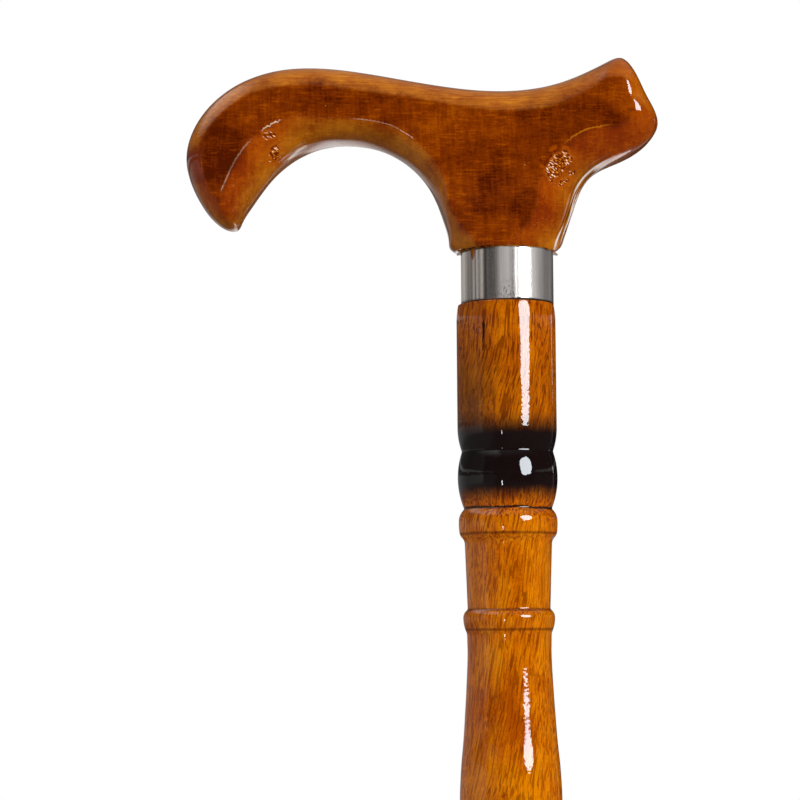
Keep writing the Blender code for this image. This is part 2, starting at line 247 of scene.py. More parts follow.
class Finish(NodeWork):
    """A surface finish: a Principled shader and the patterns that feed it."""

    def __init__(self, name: str, **constants: Feed) -> None:
        """Start a material.

        Args:
            name: The material's name.
            **constants: The shader's constant values, with _ for a space.
        """
        self.material = bpy.data.materials.new(name)
        self.material.use_nodes = True
        super().__init__(self.material.node_tree)
        self.shader = self.tree.nodes["Principled BSDF"]
        self.place = self.node("TexCoord", {}).outputs["Object"]
        self.shade(**constants)

    def shade(self, **feeds: Feed) -> None:
        """Feed the shader's inputs.

        Args:
            **feeds: What goes into each input, with _ for a space in its name.
        """
        for key, value in feeds.items():
            self.feed(self.shader.inputs[key.replace("_", " ")], value)

    def scaled(self, scale: tuple, place: Union[Socket, None] = None, turn: tuple = (0, 0, 0)) -> Socket:
        """Scale and turn the surface's own coordinates.

        Args:
            scale: Features to a metre along each axis.
            place: The coordinates to scale, or None for the piece's own.
            turn: The pattern's turn about each axis, in degrees.

        Returns:
            The coordinates' socket.
        """
        source = self.place if place is None else place
        if any(turn):
            angles = tuple(math.radians(angle) for angle in turn)
            source = self.node("Mapping", {"Vector": source, "Rotation": angles}).outputs[0]
        return self.node("Mapping", {"Vector": source, "Scale": scale}).outputs[0]

    def noise(self, place: Socket, detail: float = 2.0, roughness: float = 0.5, output: int = 0) -> Socket:
        """Read cloudy noise.

        Args:
            place: The scaled coordinates.
            detail: How many finer layers it has.
            roughness: How strong those are.
            output: 0 for one value, 1 for a colour.

        Returns:
            The noise's socket.
        """
        feeds = {"Vector": place, "Scale": 1.0, "Detail": detail, "Roughness": roughness}
        return self.node("TexNoise", feeds).outputs[output]

    def even_noise(self, scale: float, detail: float = 2.0, roughness: float = 0.5) -> Socket:
        """Read noise that is as fine along every axis."""
        return self.noise(self.scaled((scale,) * 3), detail, roughness)

    def bent(self, scale: tuple, reach: tuple) -> Socket:
        """Bend the surface's coordinates slowly, as grain wanders.

        Args:
            scale: Bends to a metre along each axis.
            reach: How far a point moves along each axis, in metres.

        Returns:
            The bent coordinates' socket.
        """
        drift = self.noise(self.scaled(scale), detail=1.0, output=1)
        centred = self.vector("SUBTRACT", drift, (0.5, 0.5, 0.5)).outputs[0]
        moved = self.vector("MULTIPLY", centred, reach).outputs[0]
        return self.vector("ADD", self.place, moved).outputs[0]

    def near(self, centre: tuple, radius: float, flatten: tuple = (1, 1, 1)) -> Socket:
        """Fade from 1 at a point to 0 at a distance from it.

        Args:
            centre: The point.
            radius: The distance at which nothing is left.
            flatten: 1 or 0 for each axis that counts or doesn't.

        Returns:
            The fade's socket.
        """
        flat = self.vector("MULTIPLY", self.place, flatten).outputs[0]
        target = tuple(a * b for a, b in zip(centre, flatten))
        return self.levels(self.vector("DISTANCE", flat, target).outputs["Value"], 0.0, radius, 1.0, 0.0)

    def bump(self, height: Socket, depth: float, under: Union[Socket, None] = None) -> Socket:
        """Turn a height into a normal.

        Args:
            height: The height, from 0 to 1.
            depth: What 1 stands for, in metres.
            under: A normal that this one adds to.

        Returns:
            The normal's socket.
        """
        feeds = {"Strength": 1.0, "Distance": depth, "Height": height}
        if under is not None:
            feeds["Normal"] = under
        return self.node("Bump", feeds).outputs[0]


class Lacquered(Finish):
    """A finish under the thick clear coat that both woods share."""

    GLOSS = 0.02
    INDEX = 1.55
    PEEL_SIZE = 0.0009
    PEEL_DEPTH = 0.000014
    WAVE_SIZE = 0.0070
    WAVE_DEPTH = 0.000040

    def __init__(self, name: str, roughness: float) -> None:
        """Start a lacquered material.

        Args:
            name: The material's name.
            roughness: How rough it is under the coat.
        """
        super().__init__(
            name, Roughness=roughness, Specular_IOR_Level=0.0, Coat_Weight=1.0, Coat_Roughness=self.GLOSS,
            Coat_IOR=self.INDEX)

    def skin(self) -> Socket:
        """Return the normal of the lacquer's orange peel and slow waves."""
        peel = self.even_noise(1 / self.PEEL_SIZE, detail=1.0)
        wave = self.even_noise(1 / self.WAVE_SIZE, detail=0.0)
        return self.bump(peel, self.PEEL_DEPTH, self.bump(wave, self.WAVE_DEPTH))


class StainedPlank(Lacquered):
    """Close-grained wood: stain lies dark on the flat sides and is rubbed golden on the rounded edges, with
    painted light.
    """

    DEEP: Colour = (0.080, 0.0080, 0.0002)
    AMBER: Colour = (0.205, 0.0280, 0.0003)
    BRIGHT: Colour = (0.360, 0.0660, 0.0005)
    RUBBED_LOW: Colour = (0.210, 0.0230, 0.0003)
    RUBBED_HIGH: Colour = (0.400, 0.0700, 0.0005)
    CROWN_LOW: Colour = (0.420, 0.0880, 0.0020)
    CROWN_HIGH: Colour = (0.690, 0.2200, 0.0080)
    BROWN_LOW: Colour = (0.260, 0.0600, 0.0010)
    BROWN_HIGH: Colour = (0.480, 0.1420, 0.0045)
    # The pale veil painted in the lacquer runs: a painted reflection
    REFLECTION_HAZE: Colour = (0.420, 0.3300, 0.2700)
    CHAR: Colour = (0.030, 0.0100, 0.0040)
    # White glints painted on the blisters and in the lacquer runs: painted highlights
    PAINTED_GLINT: Colour = (0.950, 0.880, 0.7800)
    DUSTY: Colour = (0.550, 0.300, 0.1200)
    # The pale line painted along parts of the creases, a painted highlight with some rubbed wear, and the
    # patches where it shows
    CREASE_HIGHLIGHT_LINE: Colour = (0.850, 0.620, 0.4200)
    CREASE_HIGHLIGHT_SPOTS: Patches = (
        (-0.0628, 0.0330, 0.0040, 1.0), (-0.0767, 0.0165, 0.0020, 1.0), (-0.0728, 0.0223, 0.0110, 0.28),
        (-0.0353, 0.0325, 0.0085, 0.30), (0.0208, 0.0317, 0.0100, 0.60),
    )
    CORNER_SPOTS: Patches = ((0.0143, 0.0214, 0.0068, 1.0), (-0.0630, 0.0272, 0.0060, 0.7))
    STAIN_POOLS: Patches = (
        (-0.0480, 0.0350, 0.010, 0.4), (-0.0340, 0.0350, 0.011, 0.8), (-0.0795, 0.0260, 0.015, 1.4),
        (-0.0560, 0.0360, 0.009, 0.5), (0.0055, 0.0105, 0.008, 1.2), (0.0100, 0.0350, 0.011, 1.0),
        (-0.0040, 0.0150, 0.011, 0.8), (0.0244, 0.0310, 0.012, 0.9), (-0.0492, 0.0425, 0.007, -0.9),
    )
    # Where the runs lie, with their painted reflections and glints
    RUN_PLACES: Patches = ((0.0170, 0.0130, 0.0210, 1.0), (-0.0574, 0.0268, 0.0058, 0.3))
    WORN_END: tuple[float, float, float] = (0.0400, 0.0440, 0.016)
    POOL_DEPTH = 0.085
    FIBRE_DEPTH = 0.00003
    BLISTER_DEPTH = 0.00003
    RUN_DEPTH = 0.00018

    def __init__(self, base_height: float) -> None:
        """Mix the handle's wood.

        Args:
            base_height: The height of the handle's base, from which its marks are placed.
        """
        super().__init__("handle_wood_lacquered", 0.42)
        self.base_height = base_height
        self.across, _, self.height = self.axes(self.place)
        self.edge = self.node("Attribute", {}, attribute_name="edge").outputs["Fac"]
        self.grain = self.bent((22.0, 22.0, 22.0), (0.004, 0.002, 0.003))
        self.cloud = self.noise(self.scaled((75.0, 75.0, 110.0)), detail=5.0, roughness=0.70)
        fibre = self.noise(self.scaled((480.0, 2200.0, 2300.0), self.grain), detail=2.0, roughness=0.6)
        tone = self._tone(fibre)
        flat = self.ramp(tone, (0.37, self.DEEP), (0.50, self.AMBER), (0.63, self.BRIGHT))
        rubbed = self._rubbed(tone)
        drift = self.times(self.minus(self.cloud, 0.5), 0.30)
        colour = self.mix(self.levels(self.plus(self.edge, drift), -0.07, 0.12), flat, rubbed)
        across, up, reach = self.WORN_END
        worn = self.near((across, 0.0, base_height + up), reach, (1, 0, 1))
        colour = self.mix(self.times(worn, 0.7), colour, rubbed)
        # End grain shows in the inner corners, in a pale ring, under rows of small blisters in the lacquer
        ragged = self.levels(self.even_noise(330.0), 0.35, 0.62, 0.0, 1.6)
        halo = self.times(self._patches(self.CORNER_SPOTS), ragged)
        corner = self.levels(halo, 0.25, 0.75)
        colour = self.mix(self.levels(halo, 0.02, 0.22, 0.0, 0.7), colour, self.RUBBED_HIGH)
        shy = self.times(
            self.levels(self.across, -0.04, 0.0, 0.94, 1.0), self.levels(self.across, 0.012, 0.017, 1.0, 0.94))
        rows = self.scaled((760.0, 1400.0, 3300.0), turn=(0, -28, 0))
        blister = self.times(self.noise(rows, detail=0.0), shy)
        # The blisters' white glints at the ramp's top are painted highlights
        spots_and_glints = self.ramp(
            blister, (0.38, self.DEEP), (0.47, self.RUBBED_LOW), (0.54, self.RUBBED_HIGH),
            (0.60, self.CROWN_HIGH), (0.67, self.CROWN_HIGH), (0.71, self.PAINTED_GLINT))
        colour = self.mix(self.times(corner, 0.85), colour, spots_and_glints)
        # A few grains of dust are caught in the lacquer
        dust = {"Vector": self.scaled((170.0,) * 3), "Scale": 1.0}
        grains = self.node("TexVoronoi", dust).outputs["Distance"]
        colour = self.mix(self.levels(grains, 0.022, 0.040, 0.6, 0.0), colour, self.DUSTY)
        # Paint the pale line along the crease: a painted highlight, partly rubbed wear
        painted_light_tint = self.mix(self.levels(self.across, 0.0, 0.01), self.CREASE_HIGHLIGHT_LINE, self.CROWN_HIGH)
        colour = self.mix(self._crease_highlight(), colour, painted_light_tint)
        # Runs of lacquer hang along the neck's edge under the tail, and in the nose's corner, with painted
        # reflections and glints
        lanes = {0: self.times(self.edge, 16.0), 2: self.times(self.height, 90.0)}
        runs = self.noise(self.node("CombineXYZ", lanes).outputs[0], detail=1.0)
        place = self.times(self._patches(self.RUN_PLACES), self.levels(self.edge, 0.52, 0.68))
        runs_and_highlights = self.ramp(
            runs, (0.40, self.CHAR), (0.45, self.BROWN_HIGH), (0.50, self.BROWN_LOW), (0.54, self.REFLECTION_HAZE),
            (0.62, self.PAINTED_GLINT))
        colour = self.mix(self.times(place, 0.80), colour, runs_and_highlights)
        raised = self.times(corner, self.levels(self.across, -0.04, 0.0, 0.25, 1.0))
        skin = self.bump(self.times(blister, raised), self.BLISTER_DEPTH, self.skin())
        self.shade(
            Base_Color=colour,
            Normal=self.bump(fibre, self.FIBRE_DEPTH),
            Coat_Normal=self.bump(self.times(runs, place), self.RUN_DEPTH, skin),
        )

    def _tone(self, fibre: Socket) -> Socket:
        """Mix the flat sides' tone.

        Args:
            fibre: The fine fibres.

        Returns:
            The tone's socket, darker where stain has pooled.
        """
        ripple = self.noise(self.scaled((1100.0, 400.0, 110.0), self.grain), detail=2.0, roughness=0.6)
        dash = self.noise(self.scaled((240.0, 900.0, 1900.0), self.grain), detail=0.0)
        fleck = self.even_noise(2400.0, detail=1.0)
        tone = self.blend(
            (fibre, 0.19), (fleck, 0.12), (ripple, 0.20), (self.cloud, 0.49),
            (self.levels(dash, 0.66, 0.74), 0.06))
        return self.minus(tone, self.times(self._patches(self.STAIN_POOLS), self.POOL_DEPTH))

    def _rubbed(self, tone: Socket) -> Socket:
        """Colour the rounded edges: red to brown below, golden with fine lines where they face up, which is
        partly painted light.

        Args:
            tone: The flat sides' tone.

        Returns:
            The colour's socket.
        """
        red = self.ramp(tone, (0.40, self.RUBBED_LOW), (0.60, self.RUBBED_HIGH))
        brown = self.ramp(tone, (0.40, self.BROWN_LOW), (0.60, self.BROWN_HIGH))
        outer = self.blend((self.edge, 1.0), (self.minus(self.cloud, 0.5), 0.9))
        golden = self.math(
            "MINIMUM", self.levels(self.across, -0.062, -0.052, 0.0, 0.35),
            self.levels(self.across, -0.008, 0.0, 0.35, 0.0))
        ruddy = self.levels(self.across, 0.018, 0.028, 0.0, 0.45)
        outer = self.minus(self.plus(outer, golden), ruddy)
        inner = self.mix(self.levels(outer, 0.15, 0.75), red, brown)
        line = self.noise(self.scaled((130.0, 1500.0, 2100.0), self.grain), detail=1.0)
        lined = self.blend((line, 0.45), (self.cloud, 0.55))
        crown = self.ramp(lined, (0.38, self.CROWN_LOW), (0.62, self.CROWN_HIGH))
        crown = self.mix(self.levels(self.across, 0.012, 0.030, 0.0, 0.65), crown, self.RUBBED_HIGH)
        # Edges that face up are painted golden, as light from above makes them: painted light over rubbed stain
        painted_top_light = self.axes(self.node("NewGeometry", {}).outputs["Normal"])[2]
        return self.mix(self.levels(painted_top_light, -0.05, 0.35), inner, crown)

    def _crease_highlight(self) -> Socket:
        """Return where a pale line, a painted highlight with some rubbed wear, runs along the crease, broken by
        the mottling.
        """
        line = self.levels(self.math("ABSOLUTE", self.edge), 0.006, 0.024, 1.0, 0.0)
        return self.times(line, self.levels(self.cloud, 0.36, 0.60, 0.4, 1.0), self._patches(self.CREASE_HIGHLIGHT_SPOTS))

    def _patches(self, patches: Patches) -> Socket:
        """Return the strongest of some round patches at each point.

        Args:
            patches: The patches.

        Returns:
            The patches' socket.
        """
        fades = []
        for across, up, reach, strength in patches:
            near = self.near((across, 0.0, self.base_height + up), reach, (1, 0, 1))
            fades.append(self.levels(near, 0.0, 0.6, 0.0, strength))
        return self.highest(*fades)


class TurnedWood(Lacquered):
    """Open-pored wood with dark pores along the shaft, and a scorched band round the knob."""

    DEEP: Colour = (0.070, 0.009, 0.0002)
    PORE_BROWN: Colour = (0.170, 0.022, 0.0002)
    AMBER: Colour = (0.400, 0.068, 0.0003)
    ORANGE: Colour = (0.580, 0.132, 0.0004)
    GOLDEN: Colour = (0.710, 0.205, 0.0008)
    SMOKE_AND_SHADE: Colour = (0.130, 0.040, 0.0030)
    GUM: Colour = (0.0150, 0.0060, 0.0020)
    CHAR: Colour = (0.0085, 0.0040, 0.0036)
    # Depths below the collar's top
    SCORCH_START = 0.0425
    SCORCH_FULL = 0.0500
    SCORCH_THIN = 0.0632
    SCORCH_END = 0.0690
    BURNT_LINE = 0.0692
    BURNT_WIDTH = 0.0006
    LEAN = 9.0
    GUM_STREAK: tuple[float, float, float] = (-0.0064, -0.0115, -0.0228)
    GUM_SCALE: tuple[float, float, float] = (1700.0, 700.0, 130.0)
    SHADE: tuple[float, float, float] = (-0.0030, -0.0115, -0.1230)
    SHADE_REACH = 0.018
    PORE_DEPTH = 0.00004

    def __init__(self, collar_top: float, stain_and_shade_lines: tuple[float, ...]) -> None:
        """Mix the shaft's wood.

        Args:
            collar_top: The height of the collar's top, from which its marks are placed.
            stain_and_shade_lines: Heights of the dark lines in the grooves: gathered stain, and painted shade
                under the curves.
        """
        super().__init__("shaft_wood_lacquered", 0.40)
        self.collar_top = collar_top
        self.across, _, height = self.axes(self.place)
        self.down = self.minus(collar_top, height)
        grain = self.bent((62.0, 62.0, 44.0), (0.0052, 0.0052, 0.0))
        pore, vessel, streak = (
            self.noise(self.scaled((fine, fine, lengthwise), grain, (0, -self.LEAN, 0)), detail)
            for fine, lengthwise, detail in ((2300.0, 230.0, 0.0), (2100.0, 70.0, 0.0), (1000.0, 45.0, 1.0)))
        speck = self.noise(self.scaled((2900.0, 2900.0, 1500.0)), detail=1.0)
        self.cloud = self.noise(self.scaled((130.0, 130.0, 70.0)), detail=3.0, roughness=0.6)
        tone = self.blend((streak, 0.34), (self.cloud, 0.38), (speck, 0.28))
        tone = self.plus(tone, self.levels(self.down, 0.068, 0.074, -0.01, 0.045))
        across, front, under = self.SHADE
        shade = self.near((across, front, collar_top + under), self.SHADE_REACH)
        tone = self.minus(tone, self.times(shade, 0.11))
        colour = self.ramp(tone, (0.38, self.AMBER), (0.50, self.ORANGE), (0.62, self.GOLDEN))
        zone = self.levels(self.cloud, 0.45, 0.58)
        short = self.times(self.levels(pore, 0.560, 0.620), self.levels(zone, 0.0, 1.0, 0.90, 0.30))
        long = self.times(self.levels(vessel, 0.565, 0.620), self.levels(zone, 0.0, 1.0, 0.35, 0.80))
        pores = self.times(self.highest(short, long), self.levels(self.down, 0.070, 0.078, 1.0, 0.72))
        colour = self.mix(pores, colour, self.PORE_BROWN)
        # Smoke browns the barrel near the scorch; its darker left side is painted shade
        colour = self.mix(self._smoke_and_shade(), colour, self.SMOKE_AND_SHADE)
        # Dark lines in the grooves: gathered stain, and painted shade where the surface curves under
        for groove in stain_and_shade_lines:
            gap = self.math("ABSOLUTE", self.minus(height, groove))
            colour = self.mix(self.levels(gap, 0.0001, 0.0006, 0.6, 0.0), colour, self.DEEP)
        colour = self.mix(self._gum(pore), colour, self.GUM)
        colour = self.mix(self._scorch(), colour, self.CHAR)
        self.shade(Base_Color=colour, Normal=self.bump(pore, self.PORE_DEPTH), Coat_Normal=self.skin())

    def _smoke_and_shade(self) -> Socket:
        """Return how far the barrel is browned: by smoke near the scorch, and by painted shade on its left."""
        left = self.plus(
            self.levels(self.across, -0.0010, -0.0095, 0.22, 0.70),
            self.levels(self.cloud, 0.3, 0.7, 0.1, -0.1))
        return self.times(
            left, self.levels(self.down, 0.022, 0.040, 0.30, 1.0), self.levels(self.down, 0.070, 0.060))

    def _gum(self, pore: Socket) -> Socket:
        """Return the one dark gum streak on the barrel.

        Args:
            pore: The wood's pores, which break its edges.

        Returns:
            The streak's mask.
        """
        across, front, under = self.GUM_STREAK
        middle = tuple(
            size * scale for size, scale in zip((across, front, self.collar_top + under), self.GUM_SCALE))
        gap = self.vector("DISTANCE", self.scaled(self.GUM_SCALE), middle).outputs["Value"]
        return self.levels(self.plus(gap, self.times(pore, 1.4)), 1.6, 1.1)

    def _scorch(self) -> Socket:
        """Return how charred the wood is at each height; the char's ends wander with the mottling."""
        down = self.plus(self.down, self.times(self.minus(self.cloud, 0.5), 0.0022))
        upper = self.levels(down, self.SCORCH_START, self.SCORCH_FULL)
        lower = self.levels(down, self.SCORCH_THIN, self.SCORCH_END, 1.0, 0.0)
        line_gap = self.math("ABSOLUTE", self.minus(down, self.BURNT_LINE))
        line = self.levels(line_gap, 0.0001, self.BURNT_WIDTH, 0.95, 0.0)
        return self.highest(self.times(upper, lower), line)


class PolishedTube(Finish):
    """Steel tube, polished round and round and scuffed along its length, its reflection partly painted in
    bands.
    """

    BRIGHT: Colour = (1.00, 0.91, 0.85)
    DULL: Colour = (0.86, 0.76, 0.68)
    GRIME: Colour = (0.13, 0.11, 0.10)
    SCUFFED: tuple[float, float, float] = (0.0009, -0.0126, 0.8490)
    SCUFF_REACH = 0.0050
    # Across the front, from left to right: place, lowest and highest roughness, and brightness of the painted
    # reflection
    HAZE_AND_REFLECTION_BANDS: tuple[tuple[float, float, float, float], ...] = (
        (-0.0125, 0.03, 0.10, 1.00), (-0.0116, 0.03, 0.10, 1.00), (-0.0107, 0.03, 0.12, 0.52),
        (-0.0103, 0.03, 0.12, 0.58), (-0.0098, 0.03, 0.12, 0.40), (-0.0093, 0.03, 0.12, 0.95),
        (-0.0088, 0.03, 0.12, 0.30), (-0.0085, 0.03, 0.12, 0.85), (-0.0079, 0.03, 0.12, 0.42),
        (-0.0071, 0.03, 0.12, 0.95), (-0.0069, 0.08, 0.20, 0.75), (-0.0066, 0.08, 0.20, 0.38),
        (-0.0061, 0.08, 0.20, 0.34), (-0.0058, 0.10, 0.25, 0.95), (-0.0040, 0.20, 0.40, 0.95),
        (-0.0024, 0.50, 0.65, 1.00), (-0.0002, 0.45, 0.60, 0.95), (0.0007, 0.30, 0.50, 0.60),
        (0.0011, 0.25, 0.45, 0.55), (0.0018, 0.25, 0.45, 1.00), (0.0020, 0.25, 0.45, 0.80),
        (0.0023, 0.20, 0.40, 0.42), (0.0028, 0.20, 0.40, 0.45), (0.0033, 0.08, 0.30, 1.00),
        (0.0057, 0.08, 0.30, 0.90), (0.0062, 0.25, 0.45, 0.45), (0.0072, 0.40, 0.60, 0.62),
        (0.0112, 0.30, 0.50, 1.00), (0.0120, 0.30, 0.50, 0.80), (0.0123, 0.10, 0.30, 0.40),
    )

    def __init__(self, offset: float, diameter: float) -> None:
        """Polish the collar's steel.

        Args:
            offset: How far the tube stands to the right of the shaft's axis.
            diameter: The tube's diameter.
        """
        super().__init__("collar_steel_polished", Metallic=1.0)
        fine = self.even_noise(9000.0, detail=0.0)
        broad = self.noise(self.scaled((2400.0, 2400.0, 30.0)), detail=2.0)
        left = self.minus(self.axes(self.place)[0], offset - diameter / 2)
        share = self.math("DIVIDE", left, diameter)
        stops = [(0.5 + place / diameter, rest) for place, *rest in self.HAZE_AND_REFLECTION_BANDS]
        low, high, painted_light_tint = self.node("SeparateColor", {0: self.ramp(share, *stops)}).outputs
        scuff = self.noise(self.scaled((2600.0, 2600.0, 1100.0)), detail=3.0, roughness=0.7)
        patch = self.times(self.levels(scuff, 0.50, 0.60), self.near(self.SCUFFED, self.SCUFF_REACH))
        colour = self.mix(self.levels(broad, 0.38, 0.62), self.DULL, self.BRIGHT)
        # Darker bands paint the room's reflection into the steel's colour: a painted reflection
        painted_reflection = self.node("CombineColor", {0: painted_light_tint, 1: painted_light_tint, 2: painted_light_tint}).outputs[0]
        self.shade(
            Base_Color=self.mix(patch, self.mix(1.0, colour, painted_reflection, "MULTIPLY"), self.GRIME),
            Roughness=self.highest(self.levels(fine, 0.47, 0.53, low, high), self.times(patch, 0.6)),
            Normal=self.bump(broad, 0.000001),
        )


class PlainSteel(Finish):
    """Drawn or plated steel with faint marks."""

    def __init__(self, name: str, light: Colour, dark: Colour, rough: Point, marks: Colour) -> None:
        """Make the steel.

        Args:
            name: The material's name.
            light: Its colour where it is lightest.
            dark: Its colour where it is darkest.
            rough: Its lowest and highest roughness.
            marks: Its marks to a metre along each axis.
        """
        super().__init__(name, Metallic=1.0)
        mark = self.noise(self.scaled(marks), detail=3.0, roughness=0.6)
        self.shade(
            Base_Color=self.ramp(mark, (0.35, dark), (0.65, light)),
            Roughness=self.levels(mark, 0.35, 0.65, *rough),
            Normal=self.bump(mark, 0.00001),
        )


class DriedGlue(Lacquered):
    """The brown glue and lacquer that is squeezed out at the collar's ends."""

    def __init__(self, name: str, light: Colour, dark: Colour) -> None:
        """Mix the glue.

        Args:
            name: The material's name.
            light: Its colour where it is thin.
            dark: Its colour where it is thick.
        """
        super().__init__(name, 0.30)
        blotch = self.even_noise(700.0)
        self.shade(Base_Color=self.ramp(blotch, (0.40, dark), (0.66, light)), Normal=self.bump(blotch, 0.00008))


class MouldedRubber(Finish):
    """Matt black rubber with mould bloom, scuffed grey at the foot."""

    BLACK: Colour = (0.012, 0.012, 0.012)
    BLOOM: Colour = (0.028, 0.027, 0.026)
    SCUFFED: Colour = (0.110, 0.105, 0.098)
    SCUFF_HEIGHT = 0.0035

    def __init__(self) -> None:
        """Mix the tip's rubber."""
        super().__init__("tip_rubber_moulded", Specular_IOR_Level=0.4)
        cloud = self.even_noise(160.0, detail=3.0)
        pit = self.even_noise(2600.0)
        low = self.levels(self.axes(self.place)[2], 0.0, self.SCUFF_HEIGHT, 0.75, 0.0)
        wear = self.times(low, self.levels(cloud, 0.35, 0.65))
        colour = self.ramp(cloud, (0.35, self.BLACK), (0.70, self.BLOOM))
        self.shade(
            Base_Color=self.mix(wear, colour, self.SCUFFED),
            Roughness=self.levels(pit, 0.30, 0.70, 0.52, 0.78),
            Normal=self.bump(pit, 0.00005),
        )


def eased(t: float, span: float, start: Knot, end: Knot, leave: Knot, arrive: Knot) -> Knot:
    """Follow a cubic curve from one knot to the next.

    Args:
        t: The share of the way, from 0 to 1.
        span: The way's length.
        start: Where it starts.
        end: Where it ends.
        leave: Its slope at the start.
        arrive: Its slope at the end.

    Returns:
        The place on the curve.
    """
    blend = t * t * (3 - 2 * t)
    return (
        start + (end - start) * blend + (t ** 3 - 2 * t * t + t) * span * leave
        + (t ** 3 - t * t) * span * arrive)


def whole(mesh: Mesh) -> list:
    """Return all that a mesh is made of."""
    return mesh.verts[:] + mesh.edges[:] + mesh.faces[:]


def grow(mesh: Mesh, border: list) -> tuple[list, list]:
    """Draw a border out into new faces.

    Args:
        mesh: The mesh.
        border: The edges.

    Returns:
        The new points, still in the border's place, and the edges between them.
    """
    made = bmesh.ops.extrude_edge_only(mesh, edges=border)["geom"]
    verts = [item for item in made if isinstance(item, bmesh.types.BMVert)]
    new = set(verts)
    return verts, [edge for edge in mesh.edges if edge.verts[0] in new and edge.verts[1] in new]


def cut_level(mesh: Mesh, height: float, way: int) -> list:
    """Saw a mesh off level and close it there.

    Args:
        mesh: The mesh.
        height: The cut's height.
        way: 1 to take off what is above it, -1 for what is below.

    Returns:
        The cut's rim.
    """
    cut = bmesh.ops.bisect_plane(
        mesh, geom=whole(mesh), plane_co=(0, 0, height), plane_no=(0, 0, way), clear_outer=True)["geom_cut"]
    rim = [item for item in cut if isinstance(item, bmesh.types.BMEdge)]
    bmesh.ops.contextual_create(mesh, geom=rim)
    return rim


def stand(name: str, data: bpy.types.ID) -> bpy.types.Object:
    """Put an object into the scene.

    Args:
        name: The object's name.
        data: What it is made of.

    Returns:
        The object.
    """
    made = bpy.data.objects.new(name, data)
    bpy.context.scene.collection.objects.link(made)
    return made


def solid(name: str, mesh: Mesh, finish: Finish) -> bpy.types.Object:
    """Stand a mesh in the scene, dressed in its finish.

    Args:
        name: The object's name.
        mesh: Its mesh, in place; it is freed.
        finish: Its finish.

    Returns:
        The object.
    """
    data = bpy.data.meshes.new(name)
    mesh.to_mesh(data)
    mesh.free()
    data.materials.append(finish.material)
    return stand(name, data)


def finished(
    name: str, mesh: Mesh, finish: Finish, body: Body, node: Union[str, None] = None,
) -> bpy.types.Object:
    """Make a piece of the cane from its mesh, and hand it to the frame.

    Args:
        name: The piece's name.
        mesh: Its mesh, in place; it is freed.
        finish: Its finish.
        body: The body that it rides on.
        node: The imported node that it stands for, if any.

    Returns:
        The piece.
    """
    piece = solid(name, mesh, finish)
    piece.data.shade_smooth()
    piece.data.set_sharp_from_angle(angle=math.radians(SHARP_ANGLE))
    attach(piece, body.value)
    if node is not None:
        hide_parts(node)
    LOG.info("%s: %d faces, rides on %s", name, len(piece.data.polygons), body.value)
    return piece


